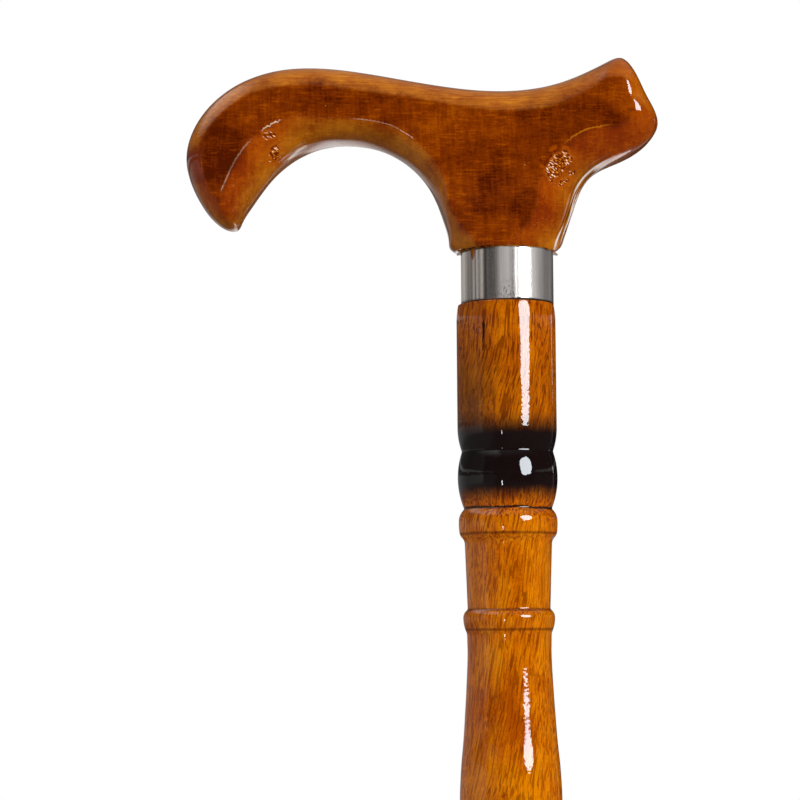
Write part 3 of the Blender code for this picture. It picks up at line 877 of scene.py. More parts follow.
class Profile:
    """The outline of a turned piece, as (radius, height) points; each run returns the profile for the next."""

    POINT_GAP = 0.0003
    ROUND_STEPS = 5

    def __init__(self, radius: float, height: float) -> None:
        """Start the outline at a point."""
        self.points: list[Point] = [(radius, height)]
        self.corners: list[tuple[Point, float]] = []

    def _steps(self, radius: float, height: float) -> int:
        """Return how many points a curve to a point gets, at least 4."""
        return max(4, math.ceil(math.dist(self.points[-1], (radius, height)) / self.POINT_GAP))

    def line(self, radius: float, height: float) -> "Profile":
        """Run straight to a point."""
        self.points.append((radius, height))
        return self

    def rounded(self, reach: float) -> "Profile":
        """Mark the last point as a corner, to be rounded as far as reach along both runs."""
        self.corners.append((self.points[-1], reach))
        return self

    def arc(self, radius: float, height: float, bulge: float) -> "Profile":
        """Run in an arc to a point; a positive bulge swells outwards on a way down.

        Args:
            radius: The point's radius.
            height: The point's height.
            bulge: How far the arc's middle stands off its chord.

        Returns:
            The profile itself.
        """
        start_r, start_z = self.points[-1]
        steps = self._steps(radius, height)
        chord = math.dist((start_r, start_z), (radius, height))
        outward = (-(height - start_z) / chord, (radius - start_r) / chord)
        bend = (chord ** 2 / 4 + bulge ** 2) / (2 * bulge)
        half_angle = math.asin(chord / (2 * bend))
        for step in range(1, steps + 1):
            angle = half_angle * (2 * step / steps - 1)
            along = 0.5 + math.sin(angle) * bend / chord
            off = bend * (math.cos(angle) - math.cos(half_angle))
            self.points.append((
                start_r + (radius - start_r) * along + outward[0] * off,
                start_z + (height - start_z) * along + outward[1] * off,
            ))
        return self

    def plumb(self, radius: float, height: float, hollow: bool = False) -> "Profile":
        """Run in an arc that is upright at its steeper end.

        Args:
            radius: The end's radius.
            height: The end's height.
            hollow: Whether the arc is a cove instead of a round.

        Returns:
            The profile itself.
        """
        fall = abs(radius - self.points[-1][0])
        drop = abs(height - self.points[-1][1])
        bulge = math.hypot(fall, drop) / 2 * math.tan(math.atan2(fall, drop) / 2)
        return self.arc(radius, height, -bulge if hollow else bulge)

    def flow(self, *knots: Point) -> "Profile":
        """Run smoothly through points, upright at both ends.

        Args:
            *knots: The points, the last one the end.

        Returns:
            The profile itself.
        """
        path = [self.points[-1], *knots]
        inner = [(after[0] - before[0]) / (after[1] - before[1]) for before, after in zip(path, path[2:])]
        slopes = [0.0, *inner, 0.0]
        for start, end, leave, arrive in zip(path, path[1:], slopes, slopes[1:]):
            steps = self._steps(*end)
            fall = end[1] - start[1]
            for step in range(1, steps + 1):
                t = step / steps
                self.line(eased(t, fall, start[0], end[0], leave, arrive), start[1] + fall * t)
        return self

    def _rounded_points(self) -> list[Point]:
        """Return the outline's points, with a curve in place of each marked corner."""
        points = list(self.points)
        for corner, reach in self.corners:
            middle = points.index(corner)
            before, after = middle - 1, middle + 1
            while math.dist(points[before], corner) < reach:
                before -= 1
            while math.dist(points[after], corner) < reach:
                after += 1
            ends = []
            for far in (points[before], points[after]):
                share = reach / math.dist(far, corner)
                ends.append([a + (b - a) * share for a, b in zip(corner, far)])
            curve = []
            for step in range(self.ROUND_STEPS + 1):
                t = step / self.ROUND_STEPS
                curve.append(tuple(
                    (1 - t) ** 2 * a + 2 * t * (1 - t) * b + t * t * c
                    for a, b, c in zip(ends[0], corner, ends[1])))
            points[before + 1:after] = curve
        return points

    def turn(self, steps: int) -> Mesh:
        """Turn the outline about the cane's axis.

        Args:
            steps: Faces round the piece.

        Returns:
            The closed mesh.
        """
        points = self._rounded_points()
        mesh = bmesh.new()
        verts = [mesh.verts.new((radius, 0.0, height)) for radius, height in points]
        edges = [mesh.edges.new(pair) for pair in zip(verts, verts[1:])]
        if points[0][0] > 0:
            edges.append(mesh.edges.new((verts[-1], verts[0])))
        bmesh.ops.spin(
            mesh, geom=verts + edges, cent=(0, 0, 0), axis=(0, 0, 1), angle=math.tau, steps=steps,
            use_merge=True, use_duplicate=False,
        )
        bmesh.ops.remove_doubles(mesh, verts=mesh.verts, dist=WELD)
        bmesh.ops.recalc_face_normals(mesh, faces=mesh.faces)
        return mesh


class EdgeForm(NamedTuple):
    """How the handle's edge is rounded: fullness 2 is a quarter ellipse, and crease is the angle left out."""

    fullness: float
    crease: float


@dataclass
class CarvedHandle:
    """The derby handle: a sawn plank with flat sides, its edges rounded over by hand."""

    collar_diameter: float = 0.0254
    thickness: float = 0.0254
    neck_ledge: float = 0.0024
    arch_height: float = 0.0300
    grip_depth: float = 0.0203
    saddle_drop: float = 0.0065
    tail_rise: float = 0.0024
    tail_reach: float = 0.0418
    nose_reach: float = 0.0862
    nose_tip_height: float = 0.0070
    base_round: float = 0.0006
    sanded_height: float = 0.0065
    sanded_ledge: float = 0.0007
    sanded_reach: float = 0.0048
    sanded_blend: float = 0.0003
    bore_radius: float = 0.0043
    bore_depth: float = 0.0303
    soft: EdgeForm = EdgeForm(2.1, 6.0)
    crisp: EdgeForm = EdgeForm(3.1, 22.0)
    facet: EdgeForm = EdgeForm(2.3, 9.0)
    square: EdgeForm = EdgeForm(3.4, 30.0)
    chamfer: EdgeForm = EdgeForm(1.4, 48.0)
    keen: EdgeForm = EdgeForm(2.6, 26.0)
    span_steps: int = 14
    edge_steps: int = 18
    bore_steps: int = 48
    crease_lip: float = 0.0003
    grid_pitch: float = 0.0011
    stain_reach: float = 0.0120
    wave_depth: float = 0.00020
    wave_pitch: float = 0.0220

    def __post_init__(self) -> None:
        """Read the base's height off the frame."""
        self.base_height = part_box("handle")[0].z

    def _stations(self) -> list[tuple]:
        """List the stations round the handle, anticlockwise from the neck's right side; z is 0 at its base.

        Returns:
            Stations of (x, z, flat side's x, flat side's z, fullness, crease).
        """
        base = self.collar_diameter / 2 + self.neck_ledge
        middle = -(self.nose_reach + base) / 2
        crown = self.arch_height + self.grip_depth
        tail = (self.tail_reach, crown + self.tail_rise)
        # Anchor, form of the edge there, and offsets of the outline's x and z and the flat side's x and z
        groups = (
            ((base, 0.0), self.chamfer, (
                (0.0000, -0.0080, -0.0160, -0.0080), (0.0004, 0.0010, -0.0146, 0.0015),
                (0.0019, 0.0060, -0.0097, 0.0058), (0.0036, 0.0108, -0.0074, 0.0110),
                (0.0076, 0.0193, -0.0044, 0.0215))),
            (tail, self.square, ((-0.0113, -0.0285, -0.0211, -0.0220), (-0.0029, -0.0234, -0.0098, -0.0194))),
            (tail, self.facet, (
                (0.0000, -0.0188, -0.0076, -0.0158), (-0.0029, -0.0107, -0.0090, -0.0116),
                (-0.0066, -0.0032, -0.0104, -0.0078))),
            (tail, self.soft, ((-0.0098, 0.0000, -0.0140, -0.0078), (-0.0140, -0.0012, -0.0165, -0.0092))),
            ((0.0, crown - self.saddle_drop), self.soft, (
                (0.0150, 0.0022, 0.0150, -0.0058), (0.0010, 0.0000, 0.0015, -0.0080),
                (-0.0170, 0.0014, -0.0170, -0.0056))),
            ((middle, crown), self.soft, (
                (0.0115, -0.0012, 0.0110, -0.0085), (-0.0055, 0.0000, -0.0045, -0.0070),
                (-0.0205, -0.0038, -0.0180, -0.0095))),
            ((-self.nose_reach, crown), self.soft, (
                (0.0037, -0.0136, 0.0085, -0.0166), (0.0000, -0.0243, 0.0049, -0.0241))),
            ((-self.nose_reach, self.nose_tip_height), self.keen, (
                (0.0035, 0.0072, 0.0066, 0.0090), (0.0086, 0.0010, 0.0084, 0.0066),
                (0.0120, -0.0006, 0.0092, 0.0060), (0.0138, -0.0004, 0.0096, 0.0063),
                (0.0152, 0.0018, 0.0102, 0.0078), (0.0171, 0.0049, 0.0113, 0.0105),
                (0.0233, 0.0133, 0.0150, 0.0180))),
            ((middle, self.arch_height), self.crisp, (
                (-0.0020, -0.0021, -0.0085, 0.0045), (0.0090, 0.0000, 0.0080, 0.0045),
                (0.0210, -0.0033, 0.0225, 0.0012))),
            ((-base, 0.0), self.crisp, (
                (-0.0057, 0.0184, -0.0020, 0.0194), (-0.0015, 0.0085, 0.0006, 0.0090),
                (-0.0002, 0.0010, 0.0056, 0.0020), (0.0000, -0.0080, 0.0075, -0.0080))),
        )
        return [
            (x + a, z + b, x + c, z + d, *form) for (x, z), form, offsets in groups for a, b, c, d in offsets]

    def _smooth_loop(self) -> list[np.ndarray]:
        """Return the stations of a closed cubic spline through the given ones."""
        knots = np.array(self._stations())
        count = len(knots)
        after = np.roll(knots, -1, axis=0) - knots
        span = np.linalg.norm(after[:, :2], axis=1)
        slope = after / span[:, None]
        matrix = np.zeros((count, count))
        for knot in range(count):
            matrix[knot, knot - 1] = span[knot]
            matrix[knot, knot] = 2 * (span[knot] + span[knot - 1])
            matrix[knot, (knot + 1) % count] = span[knot - 1]
        before = np.roll(span, 1)[:, None]
        slopes = np.linalg.solve(matrix, 3 * (before * slope + span[:, None] * np.roll(slope, 1, axis=0)))
        return [
            eased(step / self.span_steps, span[knot], knots[knot], knots[follow], slopes[knot], slopes[follow])
            for knot, follow in enumerate([*range(1, count), 0]) for step in range(self.span_steps)]

    def _edge_point(self, station: np.ndarray, level: float) -> tuple[float, float, float]:
        """Return a point of a station's rounding.

        Args:
            station: The station.
            level: From 0, in the middle of the plank, to 1, at the flat side.

        Returns:
            The point.
        """
        x, z, side_x, side_z, fullness, crease = station
        power = 2 / fullness
        last = math.radians(90 - crease)
        across = (math.sin(level * last) / math.sin(last)) ** power
        depth = (1 - math.cos(level * last) ** power) / (1 - math.cos(last) ** power)
        return x + (side_x - x) * depth, self.thickness / 2 * across, z + (side_z - z) * depth

    def _half(self) -> Mesh:
        """Grow the back half of the handle, ring by ring, to its flat side."""
        stations = self._smooth_loop()
        mesh = bmesh.new()
        number = mesh.verts.layers.int.new("station")
        edge = mesh.verts.layers.float.new("edge")
        ring = []
        for index, station in enumerate(stations):
            vert = mesh.verts.new(self._edge_point(station, 0.0))
            vert[number] = index
            vert[edge] = self._hold(station)
            ring.append(vert)
        border = [mesh.edges.new(pair) for pair in zip(ring, ring[1:] + ring[:1])]
        for step in range(1, self.edge_steps + 1):
            level = step / self.edge_steps
            ring, border = grow(mesh, border)
            for vert in ring:
                vert.co = self._edge_point(stations[vert[number]], level)
                vert[edge] = (1.0 - level) * self._hold(stations[vert[number]])
        side = bmesh.ops.contextual_create(mesh, geom=border)["faces"]
        crease = [(vert.co.copy(), self._hold(stations[vert[number]])) for vert in ring]
        bmesh.ops.recalc_face_normals(mesh, faces=mesh.faces)
        bmesh.ops.inset_region(mesh, faces=side, thickness=self.crease_lip, use_even_offset=True)
        self._grid(mesh)
        self._stain_depth(mesh, crease)
        return mesh

    @staticmethod
    def _hold(station: np.ndarray) -> float:
        """Return how sharply the stain ends at a station's crease, 1 where the crease is crisp."""
        return min(1.0, max(0.30, (station[5] - 4.0) / 8.0))

    def _on_side(self, vert: bmesh.types.BMVert) -> bool:
        """Tell whether a point lies on the flat side."""
        return vert.co.y > self.thickness / 2 - WELD

    def _grid(self, mesh: Mesh) -> None:
        """Cut the flat side into a grid, so that it can be waved and stained.

        Args:
            mesh: The half handle.
        """
        for axis in (Vector((1, 0, 0)), Vector((0, 0, 1))):
            spread = [vert.co.dot(axis) for vert in mesh.verts]
            for cut in range(1, math.ceil((max(spread) - min(spread)) / self.grid_pitch)):
                faces = [face for face in mesh.faces if all(self._on_side(vert) for vert in face.verts)]
                edges = dict.fromkeys(edge for face in faces for edge in face.edges)
                verts = dict.fromkeys(vert for face in faces for vert in face.verts)
                bmesh.ops.bisect_plane(
                    mesh, geom=faces + list(edges) + list(verts), dist=WELD,
                    plane_co=axis * (min(spread) + cut * self.grid_pitch), plane_no=axis,
                )

    def _stain_depth(self, mesh: Mesh, crease: list[tuple[Vector, float]]) -> None:
        """Write on the flat side how far each point lies from the crease, as a share below 0.

        Args:
            mesh: The half handle.
            crease: The points of the crease, and how sharply the stain ends there.
        """
        edge = mesh.verts.layers.float["edge"]
        tree = KDTree(len(crease))
        for index, (point, _) in enumerate(crease):
            tree.insert(point, index)
        tree.balance()
        for vert in filter(self._on_side, mesh.verts):
            _, index, gap = tree.find(vert.co)
            vert[edge] = -min(1.0, gap / self.stain_reach) * crease[index][1]

    def _sand(self, mesh: Mesh) -> None:
        """Leave the slow waves of hand sanding.

        Args:
            mesh: The whole handle.
        """
        mesh.normal_update()
        moves = []
        for vert in mesh.verts:
            swell = noise.noise(vert.co / self.wave_pitch) + 0.3 * noise.noise(vert.co * 3 / self.wave_pitch)
            moves.append(vert.normal * (swell - 1.0) / 2 * self.wave_depth)
        for vert, move in zip(mesh.verts, moves):
            vert.co += move

    def _seat(self, mesh: Mesh) -> None:
        """Cut the base level, round its rim and drill the stud's bore into it.

        Args:
            mesh: The whole handle.
        """
        rim = cut_level(mesh, 0, -1)
        bmesh.ops.recalc_face_normals(mesh, faces=mesh.faces)
        bmesh.ops.bevel(
            mesh, geom=rim, offset=self.base_round, segments=4, profile=0.5, affect="EDGES", material=-1,
            clamp_overlap=True,
        )
        bmesh.ops.remove_doubles(mesh, verts=mesh.verts, dist=WELD)
        self._meet_collar(mesh)
        base = max((face for face in mesh.faces if face.normal.z < -0.999), key=lambda face: face.calc_area())
        outline = list(base.edges)
        bmesh.ops.delete(mesh, geom=[base], context="FACES_ONLY")
        circle = bmesh.ops.create_circle(mesh, segments=self.bore_steps, radius=self.bore_radius)["verts"]
        mouth = list(dict.fromkeys(edge for vert in circle for edge in vert.link_edges))
        bmesh.ops.bridge_loops(mesh, edges=outline + mouth)
        top, floor = grow(mesh, mouth)
        bmesh.ops.translate(mesh, verts=top, vec=(0, 0, self.bore_depth))
        bmesh.ops.contextual_create(mesh, geom=floor)
        bmesh.ops.recalc_face_normals(mesh, faces=mesh.faces)

    def _meet_collar(self, mesh: Mesh) -> None:
        """Sand the neck's foot round, down to a narrow ledge over the collar.

        Args:
            mesh: The whole handle, cut level at height 0.
        """
        for vert in mesh.verts:
            gap = math.hypot(vert.co.x, vert.co.y)
            if vert.co.z > 2 * self.sanded_height or gap > self.collar_diameter:
                continue
            rise = max(0.0, vert.co.z) / self.sanded_height
            limit = self.collar_diameter / 2 + self.sanded_ledge + self.sanded_reach * rise ** 0.6
            kept = gap - self.sanded_blend * math.log1p(math.exp((gap - limit) / self.sanded_blend))
            vert.co.x *= kept / gap
            vert.co.y *= kept / gap

    def build(self) -> bpy.types.Object:
        """Model the handle and dress it in its wood."""
        mesh = self._half()
        bmesh.ops.mirror(mesh, geom=whole(mesh), axis="Y", merge_dist=WELD)
        bmesh.ops.recalc_face_normals(mesh, faces=mesh.faces)
        self._sand(mesh)
        self._seat(mesh)
        bmesh.ops.translate(mesh, verts=mesh.verts, vec=(0, 0, self.base_height))
        wood = StainedPlank(self.base_height)
        return finished("carved_handle", mesh, wood, Body.CANE, "handle")


@dataclass
class JointStud:
    """The threaded stud inside the joint of handle and shaft."""

    crest_radius: float = 0.0040
    root_radius: float = 0.0034
    pitch: float = 0.00125
    # Pitches that the thread starts below the stud's end, so that the end's cut meets none of its points
    lead: float = 1.355
    steps: int = 24

    def build(self) -> bpy.types.Object:
        """Cut the thread and dress the stud."""
        low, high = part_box("joint_stud")
        turns = math.ceil((high.z - low.z) / self.pitch) + 2
        thread = [
            (self.root_radius, 0.0), (self.root_radius, 0.14), (self.crest_radius, 0.45),
            (self.crest_radius, 0.55), (self.root_radius, 0.86), (self.root_radius, 1.0),
        ]
        start = low.z - self.lead * self.pitch
        mesh = bmesh.new()
        verts = [mesh.verts.new((radius, 0.0, start + share * self.pitch)) for radius, share in thread]
        edges = [mesh.edges.new(pair) for pair in zip(verts, verts[1:])]
        bmesh.ops.spin(
            mesh, geom=verts + edges, cent=(0, 0, 0), axis=(0, 0, 1), dvec=(0, 0, self.pitch / self.steps),
            angle=math.tau * turns, steps=self.steps * turns, use_merge=False, use_duplicate=False,
        )
        bmesh.ops.remove_doubles(mesh, verts=mesh.verts, dist=20 * WELD)
        cut_level(mesh, low.z, -1)
        cut_level(mesh, high.z, 1)
        bmesh.ops.recalc_face_normals(mesh, faces=mesh.faces)
        steel = PlainSteel(
            "stud_steel_drawn", (0.56, 0.56, 0.57), (0.38, 0.38, 0.39), (0.26, 0.44), (900.0, 900.0, 90.0))
        return finished("threaded_stud", mesh, steel, Body.CANE, "joint_stud")


@dataclass
class SteelCollar:
    """The collar of polished tube, and the glue at its two ends, the lower ring also standing in for shadow."""

    diameter: float = 0.0250
    wall: float = 0.0006
    offset: float = 0.00044
    chamfer: float = 0.00025
    glue_stand: float = 0.00012
    # Where glue is squeezed out: degrees right of the front, half its width in degrees, how far it stands
    beads: tuple[tuple[float, float, float], ...] = (
        (-92, 10, 0.0011), (-68, 6, 0.0006), (58, 6, 0.0007), (74, 5, 0.0010), (94, 9, 0.0014),
        (171, 12, 0.0008),
    )
    steps: int = 160

    def __post_init__(self) -> None:
        """Read the collar's ends off the frame."""
        self.low, self.high = (corner.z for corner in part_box("collar"))

    def _tube(self) -> bpy.types.Object:
        """Turn the tube."""
        outer = self.diameter / 2
        inner = outer - self.wall
        profile = Profile(inner, self.low).line(inner, self.high).line(outer - self.chamfer, self.high)
        profile.plumb(outer, self.high - self.chamfer).line(outer, self.high - 2 * self.chamfer)
        profile.line(outer, self.low + 2 * self.chamfer).line(outer, self.low + self.chamfer)
        profile.plumb(outer - self.chamfer, self.low)
        steel = PolishedTube(self.offset, self.diameter)
        return finished("steel_collar", self._set(profile), steel, Body.CANE, "collar")

    def _set(self, profile: Profile) -> Mesh:
        """Turn an outline and set it off centre, as the loose collar was glued.

        Args:
            profile: The outline.

        Returns:
            The mesh, in place.
        """
        mesh = profile.turn(self.steps)
        bmesh.ops.translate(mesh, verts=mesh.verts, vec=(self.offset, 0, 0))
        return mesh

    def _glue(self, name: str, bottom: float, finish: Finish) -> bpy.types.Object:
        """Turn the ring of glue that fills the seam at one end.

        Args:
            name: The ring's name.
            bottom: The seam's lower side.
            finish: The glue's finish.

        Returns:
            The ring.
        """
        outer = self.diameter / 2 - self.chamfer / 2
        inner = outer - self.wall + self.chamfer
        profile = Profile(inner, bottom).line(inner, bottom + SEAM).line(outer, bottom + SEAM)
        profile.arc(outer, bottom, self.glue_stand)
        mesh = self._set(profile)
        if bottom == self.high:
            self._squeeze(mesh)
        return finished(name, mesh, finish, Body.CANE)

    def _squeeze(self, mesh: Mesh) -> None:
        """Push a ring's outer side out and down where glue was squeezed out.

        Args:
            mesh: The ring.
        """
        for vert in mesh.verts:
            out = Vector((vert.co.x - self.offset, vert.co.y, 0.0))
            if out.length < self.diameter / 2 - self.chamfer:
                continue
            turn = math.degrees(math.atan2(out.x, -out.y))
            push = max(reach * math.exp(-((turn - middle) / half) ** 2) for middle, half, reach in self.beads)
            vert.co += push * out.normalized() - Vector((0.0, 0.0, 0.45 * push))

    def build(self) -> list[bpy.types.Object]:
        """Model the collar and its glue."""
        amber = DriedGlue("glue_amber", (0.42, 0.16, 0.010), (0.05, 0.012, 0.002))
        # The dark glue of the lower ring also stands in for the shadow in the seam under the collar: painted
        # shade
        dark = DriedGlue("glue_dark_and_painted_shadow", (0.050, 0.018, 0.005), (0.006, 0.003, 0.002))
        return [
            self._tube(),
            self._glue("upper_glue_line", self.high, amber),
            self._glue("lower_glue_and_shadow_line", self.low - SEAM, dark),
        ]


class Cut(NamedTuple):
    """One run of the turner's tool: how far out and down it goes, its way, and whether its end is filleted."""

    out: float
    down: float
    way: Way = Way.ROUND
    fillet: bool = False
    bulge: float = 0.0


@dataclass
class TurnedShaft:
    """The shaft, turned from its spigot down to its foot."""

    collar_diameter: float = 0.0254
    collar_wall: float = 0.0010
    bore_radius: float = 0.0043
    bore_depth: float = 0.0366
    shoulder_stand: float = 0.0002
    shoulder_round: float = 0.00015
    # Down from the shoulder: the barrel's start, length and fall, and the knob; the ring's rise, face and fall;
    # the cove and the waist; the bead's rise and fall; the vase's throat
    cuts: tuple[Cut, ...] = (
        Cut(0.00044, 0.0046), Cut(0.0, 0.0287, Way.STRAIGHT), Cut(-0.00112, 0.0063, fillet=True),
        Cut(-0.00050, 0.0154, Way.BOWED, fillet=True, bulge=0.00141),
        Cut(0.00150, 0.0033), Cut(-0.00008, 0.0024, Way.BOWED, bulge=0.00004),
        Cut(-0.00107, 0.0023, fillet=True),
        Cut(-0.00041, 0.0016, Way.COVE), Cut(-0.0006, 0.0172, Way.STRAIGHT, fillet=True),
        Cut(0.00120, 0.0022), Cut(-0.00096, 0.0042, fillet=True),
        Cut(-0.00010, 0.0044, Way.STRAIGHT),
    )
    vase: Point = (0.00240, 0.0409)
    vase_knots: tuple[Point, ...] = (
        (0.173, 0.25), (0.35, 0.417), (0.55, 0.583), (0.825, 0.75), (0.985, 0.917), (1.0, 1.0))
    foot_radius: float = 0.0095
    foot_length: float = 0.0400
    foot_chamfer: float = 0.0008
    groove_fillet: float = 0.00045
    # How far over each of the last three grooves' bottoms its dark line of stain and painted shade lies
    line_rise: tuple[float, ...] = (0.0013, -0.0001, 0.0011)
    steps: int = 144

    def _profile(self) -> Profile:
        """Trace the shaft from its bore's floor over the spigot and down to its foot."""
        foot, top = (corner.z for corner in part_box("shaft"))
        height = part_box("collar")[0].z - SEAM
        spigot = self.collar_diameter / 2 - self.collar_wall - SEAM
        radius = self.collar_diameter / 2 + self.shoulder_stand
        profile = Profile(0.0, top - self.bore_depth).line(self.bore_radius, top - self.bore_depth)
        profile.line(self.bore_radius, top).line(spigot, top).line(spigot, height)
        profile.line(radius, height).rounded(self.shoulder_round)
        for cut in self.cuts:
            radius, height = radius + cut.out, height - cut.down
            if cut.way is Way.STRAIGHT:
                profile.line(radius, height)
            elif cut.way is Way.BOWED:
                profile.arc(radius, height, cut.bulge)
            else:
                profile.plumb(radius, height, hollow=cut.way is Way.COVE)
            if cut.fillet:
                profile.rounded(self.groove_fillet)
        out, down = self.vase
        profile.flow(*[(radius + out * along, height - down * under) for along, under in self.vase_knots])
        profile.line(self.foot_radius, foot + self.foot_length).line(self.foot_radius, foot + self.foot_chamfer)
        return profile.line(self.foot_radius - self.foot_chamfer, foot).line(0.0, foot)

    def build(self) -> bpy.types.Object:
        """Turn the shaft and dress it in its wood."""
        profile = self._profile()
        mesh = profile.turn(self.steps)
        stain_and_shade_lines = tuple(corner[1] + rise for (corner, _), rise in zip(profile.corners[3:], self.line_rise))
        wood = TurnedWood(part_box("collar")[1].z, stain_and_shade_lines)
        return finished("turned_shaft", mesh, wood, Body.CANE, "shaft")


@dataclass
class RubberTip:
    """The moulded tip with the washer in its floor."""

    foot_radius: float = 0.0095
    sleeve_gap: float = 0.0003
    height: float = 0.0480
    foot_diameter: float = 0.0370
    floor: float = 0.0120
    sleeve_wall: float = 0.0038
    skirt: float = 0.0065
    flare: float = 0.0150
    flare_hollow: float = 0.0022
    lip: float = 0.0026
    lip_stand: float = 0.0009
    edge_round: float = 0.0010
    ring_count: int = 3
    ring_width: float = 0.0024
    ring_pitch: float = 0.0042
    ring_stand: float = 0.0009
    tread_centre: float = 0.0050
    tread_groove: float = 0.0022
    tread_rib: float = 0.0024
    tread_depth: float = 0.0018
    tread_count: int = 2
    soft_edge: float = 0.0004
    washer_bore: float = 0.0035
    washer_thickness: float = 0.0015
    washer_round: float = 0.0003
    steps: int = 128

    def _moulding(self) -> Profile:
        """Trace the tip from its bore's floor over the lip and down to the tread."""
        bore = self.foot_radius + self.sleeve_gap
        sleeve = bore + self.sleeve_wall
        lip = sleeve + self.lip_stand
        foot = self.foot_diameter / 2
        under_lip = self.height - self.lip
        profile = Profile(0.0, self.floor).line(bore, self.floor)
        profile.line(bore, self.height).rounded(self.soft_edge)
        profile.line(lip - self.edge_round, self.height).plumb(lip, self.height - self.edge_round)
        profile.line(lip, under_lip).rounded(self.soft_edge)
        profile.line(sleeve, under_lip - self.lip_stand).rounded(self.soft_edge)
        for ring in range(self.ring_count):
            middle = under_lip - self.ring_pitch * (ring + 1)
            profile.line(sleeve, middle + self.ring_width / 2).rounded(self.soft_edge)
            profile.arc(sleeve, middle - self.ring_width / 2, self.ring_stand).rounded(self.soft_edge)
        profile.line(sleeve, self.skirt + self.flare).arc(foot, self.skirt, -self.flare_hollow)
        profile.rounded(self.soft_edge).line(foot, self.edge_round).plumb(foot - self.edge_round, 0.0)
        for groove in reversed(range(self.tread_count)):
            inner = self.tread_centre + groove * (self.tread_groove + self.tread_rib)
            outer = inner + self.tread_groove
            profile.line(outer, 0.0).rounded(self.soft_edge).line(outer, self.tread_depth)
            profile.line(inner, self.tread_depth).line(inner, 0.0).rounded(self.soft_edge)
        return profile.line(0.0, 0.0)

    def _washer(self) -> Profile:
        """Trace the washer's section."""
        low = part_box("tip_washer")[0].z
        high = low + self.washer_thickness
        profile = Profile(self.washer_bore, low).line(self.washer_bore, high)
        profile.line(self.foot_radius - self.washer_round, high)
        return profile.plumb(self.foot_radius, high - self.washer_round).line(self.foot_radius, low)

    def build(self) -> list[bpy.types.Object]:
        """Model the tip and its washer."""
        tip, washer = self._moulding().turn(self.steps), self._washer().turn(self.steps)
        zinc = PlainSteel(
            "washer_zinc_plated", (0.66, 0.68, 0.70), (0.50, 0.52, 0.53), (0.30, 0.50), (420.0, 420.0, 420.0))
        return [
            finished("moulded_tip", tip, MouldedRubber(), Body.TIP, "rubber_tip"),
            finished("plated_washer", washer, zinc, Body.TIP, "tip_washer"),
        ]


